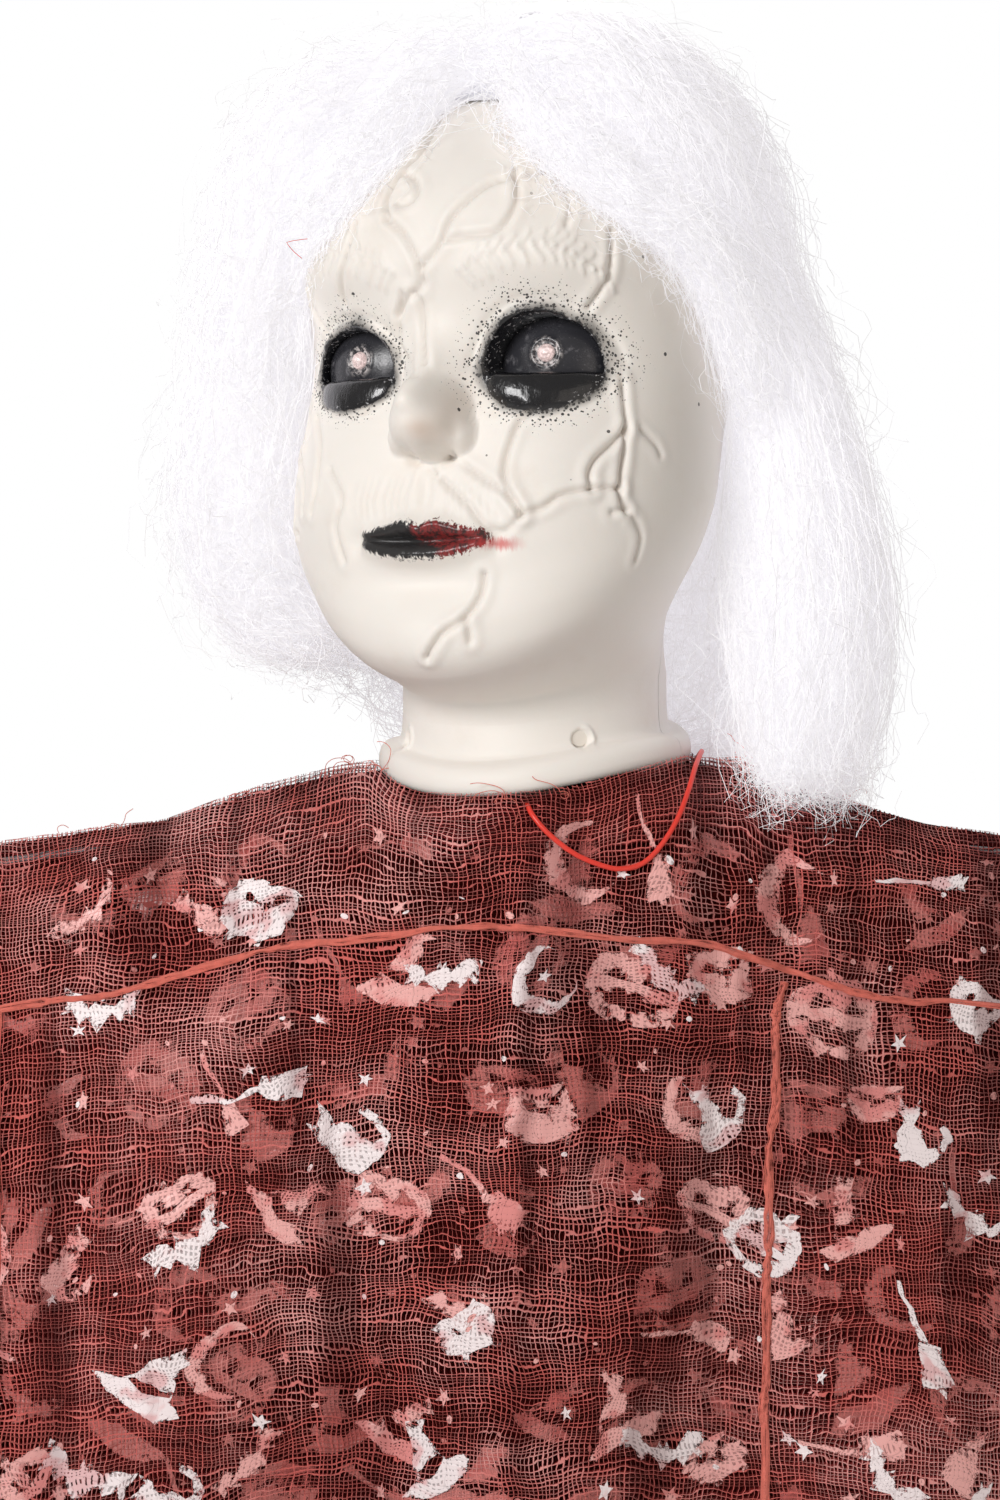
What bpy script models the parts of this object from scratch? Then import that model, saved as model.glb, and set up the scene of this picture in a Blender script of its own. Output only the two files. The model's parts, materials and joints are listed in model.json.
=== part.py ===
"""Hanging ghost decoration: a doll head with lamp eyes and a wig, over a wide gauze gown.

Metres, +Z up. The front of the gown faces -Y and the origin is where the hanging ring is held.
The head is drawn facing -Y about the neck axis, and then turned to look over its shoulder.
"""

import math

import bmesh
import bpy
from mathutils import Matrix, Vector

# Driving sizes: clearances and overruns
SEAT_GAP = 0.0003
RUN_GAP = 0.0003
CUT_OVERRUN = 0.004

# Hanging ring and crown eye
RING_RADIUS = 0.0057
RING_WIRE = 0.0007
EYE_HOLE = 0.0022
EYE_WIRE = 0.0008
SHANK_RADIUS = 0.0012
SHANK_LENGTH = 0.0105
WASHER_RADIUS = 0.005
WASHER_THICKNESS = 0.001
WASHER_SEAT_DROP = 0.0009
NUT_RADIUS = 0.0033
NUT_HEIGHT = 0.0024

# Head shells, measured from the neck axis and from the neck datum up to the crown
HEAD_RISE = 0.1856
HEAD_HALF_WIDTH = 0.057
FACE_REACH = 0.0675
SKULL_REACH = 0.0575
SHELL_WALL = 0.0022
PARTING_OFFSET = 0.0025
HEAD_TURN = math.radians(-26)
FACE_SQUARENESS = 0.87
HEAD_COLUMNS = 30
FRONT_CROWDING = 0.65

# Neck and flange
NECK_RADIUS = 0.0362
FLANGE_RADIUS = 0.0428
FLANGE_GROOVE = 0.0384
FLANGE_DROP = 0.0045
FLANGE_TOP = 0.004
FLANGE_ROUND = 0.002
NECK_TOP = 0.012
NECK_SLOPE = 0.2

# Eyes
EYE_SPACING = 0.0276
EYE_HEIGHT = 0.104
EYE_FRONT = 0.0514
EYE_TOE_OUT = math.radians(10)
EYEBALL_HALF_WIDTH = 0.0174
EYEBALL_HALF_DEPTH = 0.013
EYEBALL_HALF_HEIGHT = 0.016
EYEBALL_DROP = 0.0015
EYEBALL_THICKNESS = 0.0066
LID_HALF_WIDTH = 0.0138
LID_RISE = 0.0098
LID_LINE_DROP = 0.005
LAMP_RADIUS = 0.0025
LAMP_RIM = 0.0029
LAMP_RIM_THICKNESS = 0.001
LAMP_LENGTH = 0.0086
LAMP_PROUD = 0.0016
LEAD_RADIUS = 0.0007

# Features pressed into the face: place, spread and how far they stand out
NOSE_HEIGHT = 0.0865
NOSE_PROUD = 0.016
NOSE_SPREAD = 0.0085
NOSE_BRIDGE_PROUD = 0.0058
NOSE_WING_PROUD = 0.009
MOUTH_HEIGHT = 0.0547
MOUTH_HALF_WIDTH = 0.0195
LIP_PROUD = 0.0037
LIP_HEIGHT = 0.0034
LIP_GROOVE = 0.0026
CHIN_HEIGHT = 0.029
CHIN_PROUD = 0.0028
CHEEK_HEIGHT = 0.069
CHEEK_PLACE = 0.034
CHEEK_PROUD = 0.0032
SOCKET_DEPTH = 0.0038
LOWER_LID_PROUD = 0.0042
BROW_HEIGHT = 0.126
BROW_PROUD = 0.0018
EAR_HEIGHT = 0.103
EAR_PROUD = 0.0045
EAR_HALF_HEIGHT = 0.013
EAR_HALF_DEPTH = 0.007

# Wig
CAP_EDGE = 0.172
CAP_GAP = 0.0004
CAP_THICKNESS = 0.0012
HAIR_CLEARANCE = 0.0026
RING_SLOT_HALF_WIDTH = 0.008
HAIR_SPLIT = 0.03
LOCK_HALF_DEPTH = 0.045
LOCK_HALF_THICKNESS = 0.025
LOCK_FORWARD = 0.011
LOCK_BLUNTNESS = 0.45
BACK_HALF_WIDTH = 0.072
BACK_HALF_THICKNESS = 0.015
BACK_WRAP = 0.036
LOCK_REACH = 0.088
HAIR_RISE = 0.19

# Neck plug and its pivot
PLUG_RADIUS = 0.0332
PLUG_THICKNESS = 0.0045
PLUG_HEIGHT = 0.0085
CATCH_RADIUS = 0.0026
CATCH_HOLE_GAP = 0.0004
CATCH_PROUD = 0.0024
BOSS_RADIUS = 0.0085
BOSS_RISE = 0.006
BOLT_RADIUS = 0.00195
BOLT_HEAD_RADIUS = 0.0038
BOLT_HEAD_HEIGHT = 0.0028
BOLT_BORE_GAP = 0.0003
LEAD_HOLE_RADIUS = 0.0035
LEAD_HOLE_PLACE = 0.018

# Shoulder hub and arms
TORSO_TOP_DROP = 0.0156
HUB_RADIUS = 0.0364
HUB_PLATE = 0.003
ARM_RADIUS = 0.005
ARM_SOCKET_WALL = 0.002
ARM_SOCKET_END = 0.0345
ARM_START = 0.0145
POST_RADIUS = 0.004
POST_PLACE = 0.0125

# Gown
GOWN_HALF_WIDTH = 0.28
GOWN_LENGTH = 0.7
SHOULDER_FALL = 0.032
NECK_HOLE_RADIUS = 0.038
CHEST_REACH = 0.0415
ARM_DRAPE_REACH = 0.011
HEM_REACH = 0.03
HEM_EDGE_REACH = 0.02
FOLD_DEPTH = 0.009
FOLD_WIDTH = 0.105
LINING_THICKNESS = 0.001
LAYER_GAP = 0.00035
GAUZE_THICKNESS = 0.0008
GOWN_ROWS = 11

# Battery box, below the hub
BOX_HALF_WIDTH = 0.019
BOX_HALF_DEPTH = 0.01
BOX_LENGTH = 0.074
BOX_WALL = 0.0018
BOX_DROP = 0.0385
RAIL_PROUD = 0.0015
RAIL_THICKNESS = 0.002
RAIL_SET_IN = 0.0035
COVER_THICKNESS = 0.0018
COVER_GRIP_PROUD = 0.001
CELL_RADIUS = 0.00715
CELL_LENGTH = 0.0492
CELL_NUB_RADIUS = 0.0027
CELL_NUB_RISE = 0.0013
CELL_PLACE = 0.0082
SPRING_RADIUS = 0.0036
SPRING_WIRE = 0.0004
SPRING_LENGTH = 0.0052
SPRING_TURNS = 3
PLATE_THICKNESS = 0.0005
SCREW_RADIUS = 0.0013
SCREW_HEAD_RADIUS = 0.0026
SCREW_HEAD_HEIGHT = 0.0015
SCREW_LENGTH = 0.009
SWITCH_HALF_WIDTH = 0.006
SWITCH_HALF_DEPTH = 0.003
SWITCH_HEIGHT = 0.0042
KNOB_HALF_WIDTH = 0.0019
KNOB_HALF_DEPTH = 0.0014
KNOB_HEIGHT = 0.0052
KNOB_TRAVEL = 0.004

# Levels that several pieces share, below the origin
RING_CENTRE = -(RING_RADIUS - RING_WIRE)
SWING_HEIGHT = RING_CENTRE - RING_RADIUS
EYE_CENTRE = SWING_HEIGHT - (EYE_HOLE - RING_WIRE - RUN_GAP)
CROWN = EYE_CENTRE - (EYE_HOLE + 2 * EYE_WIRE + SEAT_GAP)
DATUM = CROWN - HEAD_RISE
RIDGE = -TORSO_TOP_DROP
SHEET_RIDGE = RIDGE - GAUZE_THICKNESS - LAYER_GAP
ARM_HEIGHT = SHEET_RIDGE - LINING_THICKNESS - SEAT_GAP - ARM_RADIUS
SOCKET_RADIUS = ARM_RADIUS + ARM_SOCKET_WALL
SOCKET_TOP = ARM_HEIGHT + SOCKET_RADIUS
BOX_TOP = -BOX_DROP
BOX_FLOOR = BOX_TOP - BOX_LENGTH
EYEBALL_CENTRE = EYE_FRONT - EYEBALL_HALF_DEPTH

# Head outline as shares: heights of HEAD_RISE, widths of HEAD_HALF_WIDTH,
# front and middle depths of FACE_REACH, back depths of SKULL_REACH.
# Each row: front height, front depth, side height, side width, side depth, back height, back depth
# Between these two rows there is a row halfway as well, for the mouth, nose and lids
FINE_ROWS = (6, 15)
HEAD_ROW_SHARES = [
    (0.065, 0.545, 0.108, 0.635, 0.000, 0.140, 0.625),
    (0.078, 0.660, 0.132, 0.665, 0.120, 0.172, 0.612),
    (0.088, 0.800, 0.156, 0.708, 0.255, 0.205, 0.590),
    (0.100, 0.905, 0.186, 0.762, 0.350, 0.237, 0.562),
    (0.126, 0.975, 0.216, 0.828, 0.370, 0.270, 0.532),
    (0.165, 0.995, 0.252, 0.896, 0.345, 0.305, 0.515),
    (0.205, 0.985, 0.288, 0.950, 0.315, 0.338, 0.530),
    (0.245, 0.972, 0.324, 0.982, 0.292, 0.370, 0.580),
    (0.290, 0.975, 0.360, 1.000, 0.262, 0.400, 0.640),
    (0.335, 0.970, 0.395, 1.000, 0.235, 0.430, 0.690),
    (0.385, 0.945, 0.435, 0.995, 0.208, 0.466, 0.745),
    (0.430, 0.925, 0.475, 0.988, 0.185, 0.502, 0.800),
    (0.480, 0.905, 0.515, 0.982, 0.165, 0.538, 0.860),
    (0.530, 0.890, 0.556, 0.980, 0.148, 0.572, 0.910),
    (0.580, 0.900, 0.598, 0.984, 0.135, 0.608, 0.955),
    (0.632, 0.940, 0.640, 0.990, 0.118, 0.645, 0.985),
    (0.690, 0.990, 0.690, 0.990, 0.100, 0.690, 1.000),
    (0.745, 0.985, 0.745, 0.965, 0.085, 0.745, 0.985),
    (0.800, 0.925, 0.800, 0.890, 0.070, 0.800, 0.925),
    (0.850, 0.820, 0.850, 0.785, 0.055, 0.850, 0.835),
    (0.895, 0.680, 0.895, 0.655, 0.040, 0.895, 0.700),
    (0.932, 0.530, 0.932, 0.515, 0.025, 0.932, 0.550),
    (0.962, 0.375, 0.962, 0.370, 0.012, 0.962, 0.395),
    (0.984, 0.225, 0.984, 0.225, 0.000, 0.984, 0.240),
    (0.996, 0.100, 0.996, 0.100, 0.000, 0.996, 0.105),
]

# Each lock of hair as shares: distance out of LOCK_REACH, height of HAIR_RISE, and of its own
# thickness, of LOCK_FORWARD and of its own half width
LEFT_LOCK_SHARES = [
    (0.16, 1.00, 0.55, 1.0, 1.00),
    (0.52, 0.97, 0.85, 1.0, 1.00),
    (0.78, 0.84, 1.00, 1.0, 1.00),
    (0.88, 0.67, 0.95, 1.0, 1.00),
    (0.93, 0.52, 0.95, 1.0, 1.00),
    (0.99, 0.36, 1.00, 1.0, 1.00),
    (0.86, 0.20, 0.90, 0.8, 0.95),
    (0.70, 0.12, 0.55, 0.5, 0.85),
]
RIGHT_LOCK_SHARES = [
    (0.16, 1.00, 0.55, 1.0, 1.00),
    (0.50, 0.98, 0.85, 1.0, 1.00),
    (0.68, 0.86, 0.80, 0.7, 0.95),
    (0.72, 0.69, 0.70, -0.9, 0.62),
    (0.78, 0.52, 0.80, -1.1, 0.55),
    (0.86, 0.34, 0.85, -1.1, 0.58),
    (0.88, 0.16, 0.90, -1.1, 0.62),
    (0.92, -0.02, 0.60, -1.0, 0.65),
]
BACK_LOCK_SHARES = [
    (0.12, 1.01, 0.60, 0.0, 0.80),
    (0.48, 0.95, 0.95, 0.0, 1.00),
    (0.68, 0.80, 1.00, 0.0, 1.00),
    (0.74, 0.58, 1.00, 0.0, 1.00),
    (0.74, 0.37, 1.05, 0.0, 0.98),
    (0.70, 0.18, 1.00, 0.0, 0.94),
    (0.67, -0.01, 0.80, 0.0, 0.90),
]

# Shoulder ridge as shares: distance out of GOWN_HALF_WIDTH, fall of SHOULDER_FALL
RIDGE_SHARES = [(0.0, 0.0), (0.30, 0.0), (0.36, 0.12), (0.46, 0.25), (0.53, 0.33), (0.72, 0.58), (1.0, 1.0)]

# Columns of the gown, outside the neck hole, as shares of GOWN_HALF_WIDTH
COLUMN_SHARES = [0.18, 0.24, 0.31, 0.39, 0.48, 0.57, 0.66, 0.745, 0.83, 0.915, 1.0]
NECK_COLUMN_SHARES = [0.0, 0.36, 0.66, 0.88, 1.0]
# Rows of the gown: how far down each lies, as a share of GOWN_LENGTH, below the shoulder turn
ROW_SHARES = [0.012, 0.04, 0.1, 0.19, 0.32, 0.52, 0.76, 1.0]

# Route of the red lead from the battery box, in metres about the neck axis and below the datum
RED_LEAD_ROUTE = [
    (-0.0080, -0.0040, -0.0376),
    (-0.0078, -0.0075, -0.0335),
    (-0.0065, -0.0150, -0.0290),
    (-0.0045, -0.0225, -0.0255),
    (-0.0035, -0.0265, -0.0210),
    (-0.0032, -0.0285, -0.0168),
    (-0.0030, -0.0325, -0.0146),
    (-0.0027, -0.0375, -0.0143),
    (-0.0022, -0.0425, -0.0147),
    (-0.0010, -0.0462, -0.0172),
    (0.0031, -0.0476, -0.0220),
    (0.0102, -0.0476, -0.0275),
    (0.0182, -0.0468, -0.0308),
    (0.0229, -0.0460, -0.0314),
    (0.0277, -0.0448, -0.0303),
    (0.0324, -0.0434, -0.0262),
    (0.0372, -0.0410, -0.0190),
    (0.0405, -0.0370, -0.0112),
    (0.0428, -0.0285, -0.0046),
    (0.0448, -0.0150, -0.0012),
    (0.0458, 0.0000, -0.0004),
    (0.0446, 0.0130, -0.0030),
    (0.0408, 0.0240, -0.0092),
    (0.0345, 0.0295, -0.0134),
    (0.0275, 0.0292, -0.0140),
    (0.0225, 0.0262, -0.0168),
    (0.0210, 0.0245, -0.0235),
]
LEAD_STEP = 0.004


def clear_scene():
    for obj in list(bpy.data.objects):
        bpy.data.objects.remove(obj, do_unlink=True)


def make_collections():
    parts = bpy.data.collections.new("hanging_ghost_decoration")
    cutters = bpy.data.collections.new("cutters")
    cutters.hide_render = True
    bpy.context.scene.collection.children.link(parts)
    bpy.context.scene.collection.children.link(cutters)
    return parts, cutters


def make_frame(name, place, turn=0.0):
    """An empty that carries the pieces of one body."""
    empty = bpy.data.objects.new(name, None)
    empty.location = place
    empty.rotation_euler = (0, 0, turn)
    PARTS.objects.link(empty)
    return empty


def make_material(name, colour, roughness, metallic=0.0):
    material = bpy.data.materials.new(name)
    material.use_nodes = True
    shader = material.node_tree.nodes["Principled BSDF"]
    shader.inputs["Base Color"].default_value = (*colour, 1)
    shader.inputs["Roughness"].default_value = roughness
    shader.inputs["Metallic"].default_value = metallic
    return material


def finish_mesh(bm, name):
    bmesh.ops.recalc_face_normals(bm, faces=bm.faces)
    mesh = bpy.data.meshes.new(name)
    bm.to_mesh(mesh)
    bm.free()
    return mesh


def add_part(name, bm, material, parent, sharp=math.radians(35)):
    obj = bpy.data.objects.new(name, finish_mesh(bm, name))
    PARTS.objects.link(obj)
    obj.parent = parent
    obj.data.materials.append(material)
    obj.data.shade_smooth()
    obj.data.set_sharp_from_angle(angle=sharp)
    return obj


def add_cutter(name, bm, parent):
    obj = bpy.data.objects.new(name, finish_mesh(bm, name))
    CUTTERS.objects.link(obj)
    obj.parent = parent
    obj.hide_render = True
    obj.display_type = "WIRE"
    return obj


def boolean(obj, cutter, operation="DIFFERENCE", solver="EXACT"):
    modifier = obj.modifiers.new(operation.lower() + "_" + cutter.name, "BOOLEAN")
    modifier.operation = operation
    modifier.object = cutter
    modifier.solver = solver


def box(bm, low, high):
    """A box between two corners."""
    low, high = Vector(low), Vector(high)
    made = bmesh.ops.create_cube(bm, size=1)
    size = Matrix.Diagonal((*(high - low), 1))
    bmesh.ops.transform(bm, matrix=Matrix.Translation((low + high) / 2) @ size, verts=made["verts"])
    return made["verts"]


def cylinder(bm, radius, low, high, centre=(0, 0), segments=24, top_radius=None):
    """An upright cylinder between two heights."""
    place = Matrix.Translation((centre[0], centre[1], (low + high) / 2))
    made = bmesh.ops.create_cone(
        bm,
        cap_ends=True,
        segments=segments,
        radius1=radius,
        radius2=radius if top_radius is None else top_radius,
        depth=high - low,
        matrix=place,
    )
    return made["verts"]


def bevel_edges(bm, edges, width, segments=2):
    bmesh.ops.bevel(
        bm,
        geom=edges,
        offset=width,
        segments=segments,
        profile=0.5,
        affect="EDGES",
        material=-1,
        clamp_overlap=True,
    )


def smooth_value(rows, place, column):
    """The value of one column at a fractional row, on a smooth curve through the rows."""
    last = len(rows) - 1
    i = min(max(int(place), 0), last - 1)
    t = place - i
    before, a, b, after = (rows[min(max(k, 0), last)][column] for k in (i - 1, i, i + 1, i + 2))
    return a + 0.5 * t * (b - before + t * (2 * before - 5 * a + 4 * b - after + t * (3 * (a - b) + after - before)))


def smooth_route(points, step):
    """Points about a step apart along a smooth curve through a route."""
    route = []
    for i in range(len(points) - 1):
        count = max(1, round((Vector(points[i + 1]) - Vector(points[i])).length / step))
        for k in range(count):
            route.append(Vector([smooth_value(points, i + k / count, axis) for axis in range(3)]))
    route.append(Vector(points[-1]))
    return route


def table_value(table, place):
    """Straight-line value from a table of (place, value) rows."""
    for (p0, v0), (p1, v1) in zip(table, table[1:]):
        if place <= p1:
            return v0 + (v1 - v0) * (place - p0) / (p1 - p0)
    return table[-1][1]


def ease(t):
    t = min(max(t, 0.0), 1.0)
    return t * t * (3 - 2 * t)


def hump(distance, spread):
    return math.exp(-((distance / spread) ** 2))


def dome(across, up):
    """Height of a round ball of unit size at a place seen from the front."""
    return max(0.0, 1 - across**2 - up**2) ** 0.6


def add_wire(name, points, radius, material, parent, closed=False, resolution=2):
    curve = bpy.data.curves.new(name, "CURVE")
    curve.dimensions = "3D"
    curve.bevel_depth = radius
    curve.bevel_resolution = resolution
    curve.use_fill_caps = not closed
    spline = curve.splines.new("POLY")
    spline.points.add(len(points) - 1)
    for point, place in zip(spline.points, points):
        point.co = (*place, 1)
    spline.use_cyclic_u = closed
    obj = bpy.data.objects.new(name, curve)
    PARTS.objects.link(obj)
    obj.parent = parent
    curve.materials.append(material)
    return obj


def ring(radius1, depth1, height1, squareness, side_height, side_depth, back_height, back_depth):
    """One ring of the head: front depth and height, side width, depth and height, back depth and height."""
    return (depth1, height1, radius1, side_depth, side_height, back_depth, back_height, squareness)


def neck_rings():
    """Rings of the flange and neck, whose plane slopes down towards the face."""
    sizes = [
        (FLANGE_RADIUS - FLANGE_ROUND, -FLANGE_DROP, NECK_SLOPE),
        (FLANGE_RADIUS, -FLANGE_DROP + FLANGE_ROUND, NECK_SLOPE),
        (FLANGE_RADIUS, FLANGE_TOP - FLANGE_ROUND, NECK_SLOPE),
        (FLANGE_RADIUS - FLANGE_ROUND / 2, FLANGE_TOP - FLANGE_ROUND / 4, NECK_SLOPE),
        (FLANGE_GROOVE, FLANGE_TOP, NECK_SLOPE),
        (NECK_RADIUS + FLANGE_ROUND / 4, FLANGE_TOP + FLANGE_ROUND, NECK_SLOPE),
        (NECK_RADIUS, NECK_TOP, NECK_SLOPE * 3 / 4),
    ]
    return [
        ring(r, r, z - slope * r, 1.0, z, 0.0, z + slope * r, r)
        for r, z, slope in sizes
    ]


def head_rings(fine=False):
    """All rings from the foot of the flange to just below the crown."""
    rings = neck_rings()
    last = len(HEAD_ROW_SHARES) - 1
    places = sorted([*range(last + 1), *(i + 0.5 for i in range(*FINE_ROWS) if fine)])
    for place in places:
        fz, fy, sz, sx, sy, bz, by = (smooth_value(HEAD_ROW_SHARES, place, k) for k in range(7))
        squareness = 1 - (1 - FACE_SQUARENESS) * ease((fz - 0.1) * 6) * ease((0.99 - fz) * 6)
        rings.append(
            ring(
                sx * HEAD_HALF_WIDTH,
                fy * FACE_REACH,
                fz * HEAD_RISE,
                squareness,
                sz * HEAD_RISE,
                sy * FACE_REACH,
                bz * HEAD_RISE,
                by * SKULL_REACH,
            )
        )
    return rings


def ring_point(row, angle):
    """A point of a ring, by its angle from the front."""
    front_y, front_z, side_x, side_y, side_z, back_y, back_z, squareness = row
    s, c = math.sin(angle), math.cos(angle)
    power = squareness if c > 0 else 1.0
    x = math.copysign(abs(s) ** power, s) * side_x
    along = abs(c) ** power
    if c > 0:
        y = -side_y - (front_y - side_y) * along
        z = side_z + (front_z - side_z) * c * c
    else:
        y = -side_y + (back_y + side_y) * along
        z = side_z + (back_z - side_z) * c * c
    return Vector((x, y, z))


def face_push(x, z):
    """How far the face stands out at a place seen from the front: nose, lips, chin, cheeks, sockets, brow."""
    side = abs(x)
    nose_wing = EYE_SPACING / 3
    ball = NOSE_PROUD * dome(x / (1.5 * NOSE_SPREAD), (z - NOSE_HEIGHT) / (1.3 * NOSE_SPREAD))
    wing_middle = NOSE_HEIGHT - NOSE_SPREAD / 2
    wing = NOSE_WING_PROUD * dome((side - nose_wing) / (0.65 * NOSE_SPREAD), (z - wing_middle) / (0.7 * NOSE_SPREAD))
    push = max(ball, wing)
    push += NOSE_BRIDGE_PROUD * hump(x, NOSE_SPREAD * 0.8) * ease((z - NOSE_HEIGHT) / NOSE_SPREAD) * ease(
        (EYE_HEIGHT + NOSE_SPREAD - z) / NOSE_SPREAD
    )
    mouth = max(0.0, 1 - (x / MOUTH_HALF_WIDTH) ** 2)
    push += LIP_PROUD * mouth * hump(z - MOUTH_HEIGHT - LIP_HEIGHT, LIP_HEIGHT)
    push += LIP_PROUD * mouth * hump(z - MOUTH_HEIGHT + LIP_HEIGHT, LIP_HEIGHT)
    push -= LIP_GROOVE * ease(mouth * 2) * hump(z - MOUTH_HEIGHT, LIP_HEIGHT / 2)
    push += CHIN_PROUD * hump(x, 2 * CHIN_HEIGHT / 5) * hump(z - CHIN_HEIGHT, CHIN_HEIGHT / 3)
    push += CHEEK_PROUD * hump(side - CHEEK_PLACE, CHEEK_PLACE / 2) * hump(z - CHEEK_HEIGHT, CHEEK_PLACE / 2)
    push -= SOCKET_DEPTH * hump(side - EYE_SPACING, LID_HALF_WIDTH * 1.15) * hump(z - EYE_HEIGHT, LID_RISE * 1.4)
    lid_middle = EYE_HEIGHT - LID_LINE_DROP - LID_RISE / 2
    push += LOWER_LID_PROUD * hump(side - EYE_SPACING, LID_HALF_WIDTH * 0.9) * hump(z - lid_middle, LID_RISE * 0.6)
    push += BROW_PROUD * hump(side - EYE_SPACING, LID_HALF_WIDTH * 1.4) * hump(z - BROW_HEIGHT, LID_RISE * 0.6)
    return push


def head_point(row, angle, out=0.0, raised=True):
    """A point of the skin, moved by the face's features and by an offset. Without raised, only hollows count."""
    place = ring_point(row, angle)
    outward = Vector((math.sin(angle), -math.cos(angle), 0.0))
    front = max(0.0, math.cos(angle))
    push = face_push(place.x, place.z)
    place.y -= (push if raised else min(push, 0.0)) * ease(front * 2)
    ear = EAR_PROUD * hump(place.y - PARTING_OFFSET, EAR_HALF_DEPTH) * hump(place.z - EAR_HEIGHT, EAR_HALF_HEIGHT)
    if raised:
        place.x += math.copysign(ear, place.x) * abs(math.sin(angle))
    if out:
        steep = ease((place.z / HEAD_RISE - 0.72) / 0.28)
        place += (outward * (1 - steep) + Vector((0, 0, 1)) * steep).normalized() * out
    return place


def column_angle(j, columns):
    even = 2 * math.pi * j / columns - math.pi
    return even - FRONT_CROWDING * math.sin(even)


def skin_grid(rings, columns, out=0.0, from_row=0, raised=True):
    """An open skin over the rings, closed round the head and gathered to a point at the crown."""
    bm = bmesh.new()
    rows = rings[from_row:]
    bmesh.ops.create_grid(bm, x_segments=columns, y_segments=len(rows), size=0.5)
    bm.verts.ensure_lookup_table()
    wide = columns + 1
    crown = Vector((0, 0, HEAD_RISE + out))
    for index, vert in enumerate(bm.verts):
        i, j = divmod(index, wide)
        vert.co = crown if i == len(rows) else head_point(rows[i], column_angle(j % columns, columns), out, raised)
    bmesh.ops.remove_doubles(bm, verts=bm.verts, dist=RING_WIRE / 100)
    bmesh.ops.recalc_face_normals(bm, faces=bm.faces)
    return bm


def near_features(place):
    """Whether a point of the skin is on the nose or the lips."""
    on_nose = abs(place.x) < 1.7 * NOSE_SPREAD and abs(place.z - NOSE_HEIGHT) < 1.5 * NOSE_SPREAD
    on_lips = abs(place.x) < MOUTH_HALF_WIDTH and abs(place.z - MOUTH_HEIGHT) < 2 * LIP_HEIGHT
    return place.y < 0 and (on_nose or on_lips)


def refine_features(bm):
    """Divides the skin over the nose and lips once more and lays the new points on their shapes."""
    plain = bm.verts.layers.float.new("plain")
    for vert in bm.verts:
        vert[plain] = vert.co.y + face_push(vert.co.x, vert.co.z)
    old = set(bm.verts)
    chosen = [edge for edge in bm.edges if all(near_features(vert.co) for vert in edge.verts)]
    bmesh.ops.subdivide_edges(bm, edges=chosen, cuts=1, use_grid_fill=True)
    for vert in bm.verts:
        if vert not in old:
            vert.co.y = vert[plain] - face_push(vert.co.x, vert.co.z)


def close_foot(bm):
    rim = [edge for edge in bm.edges if edge.is_boundary]
    bmesh.ops.holes_fill(bm, edges=rim, sides=0)


def hollow_mesh():
    """The space inside the head and neck: the skin without its raised features, one wall further in."""
    neck = len(neck_rings())
    low = -FLANGE_DROP - CUT_OVERRUN
    drop = NECK_SLOPE * NECK_RADIUS
    foot = ring(NECK_RADIUS, NECK_RADIUS, low - drop, 1.0, low, 0.0, low + drop, NECK_RADIUS)
    bm = skin_grid([foot, *head_rings()[neck - 1 :]], HEAD_COLUMNS, raised=False)
    bm.normal_update()
    for vert in bm.verts:
        vert.co -= vert.normal * SHELL_WALL
    close_foot(bm)
    return bm


def half_space(name, parent, front):
    """A box that takes away everything in front of, or behind, the parting plane."""
    bm = bmesh.new()
    far = FACE_REACH + NOSE_PROUD + CUT_OVERRUN + HEAD_HALF_WIDTH
    edge = PARTING_OFFSET + (SEAT_GAP / 2 if front else -SEAT_GAP / 2)
    low = (-far, -far if front else edge, -far)
    high = (far, edge if front else far, HEAD_RISE + far)
    box(bm, low, high)
    return add_cutter(name, bm, parent)


def eye_matrix(side):
    """The frame of an eye: its y axis runs out of the back of the head, along the lamp."""
    inward = EYEBALL_HALF_DEPTH * math.sin(EYE_TOE_OUT)
    place = Matrix.Translation((side * (EYE_SPACING - inward), -EYEBALL_CENTRE, EYE_HEIGHT - EYEBALL_DROP))
    return place @ Matrix.Rotation(side * EYE_TOE_OUT, 4, "Z")


def eyeball_mesh(side, extra=0.0):
    bm = bmesh.new()
    bmesh.ops.create_uvsphere(bm, u_segments=20, v_segments=12, radius=1)
    size = (EYEBALL_HALF_WIDTH + extra, EYEBALL_HALF_DEPTH + extra, EYEBALL_HALF_HEIGHT + extra)
    bmesh.ops.scale(bm, vec=size, verts=bm.verts)
    if not extra:
        back = -EYEBALL_HALF_DEPTH + EYEBALL_THICKNESS
        cut = bmesh.ops.bisect_plane(
            bm,
            geom=bm.verts[:] + bm.edges[:] + bm.faces[:],
            plane_co=(0, back, 0),
            plane_no=(0, 1, 0),
            clear_outer=True,
        )
        rim = [item for item in cut["geom_cut"] if isinstance(item, bmesh.types.BMEdge)]
        bmesh.ops.contextual_create(bm, geom=rim)
    bmesh.ops.transform(bm, matrix=eye_matrix(side), verts=bm.verts)
    return bm


def lamp_matrix(side):
    """The frame of a lamp: z runs out of the face along its axis, from the eyeball's front."""
    front = Matrix.Translation((0, -EYEBALL_HALF_DEPTH, EYEBALL_DROP))
    return eye_matrix(side) @ front @ Matrix.Rotation(math.pi / 2, 4, "X")


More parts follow.
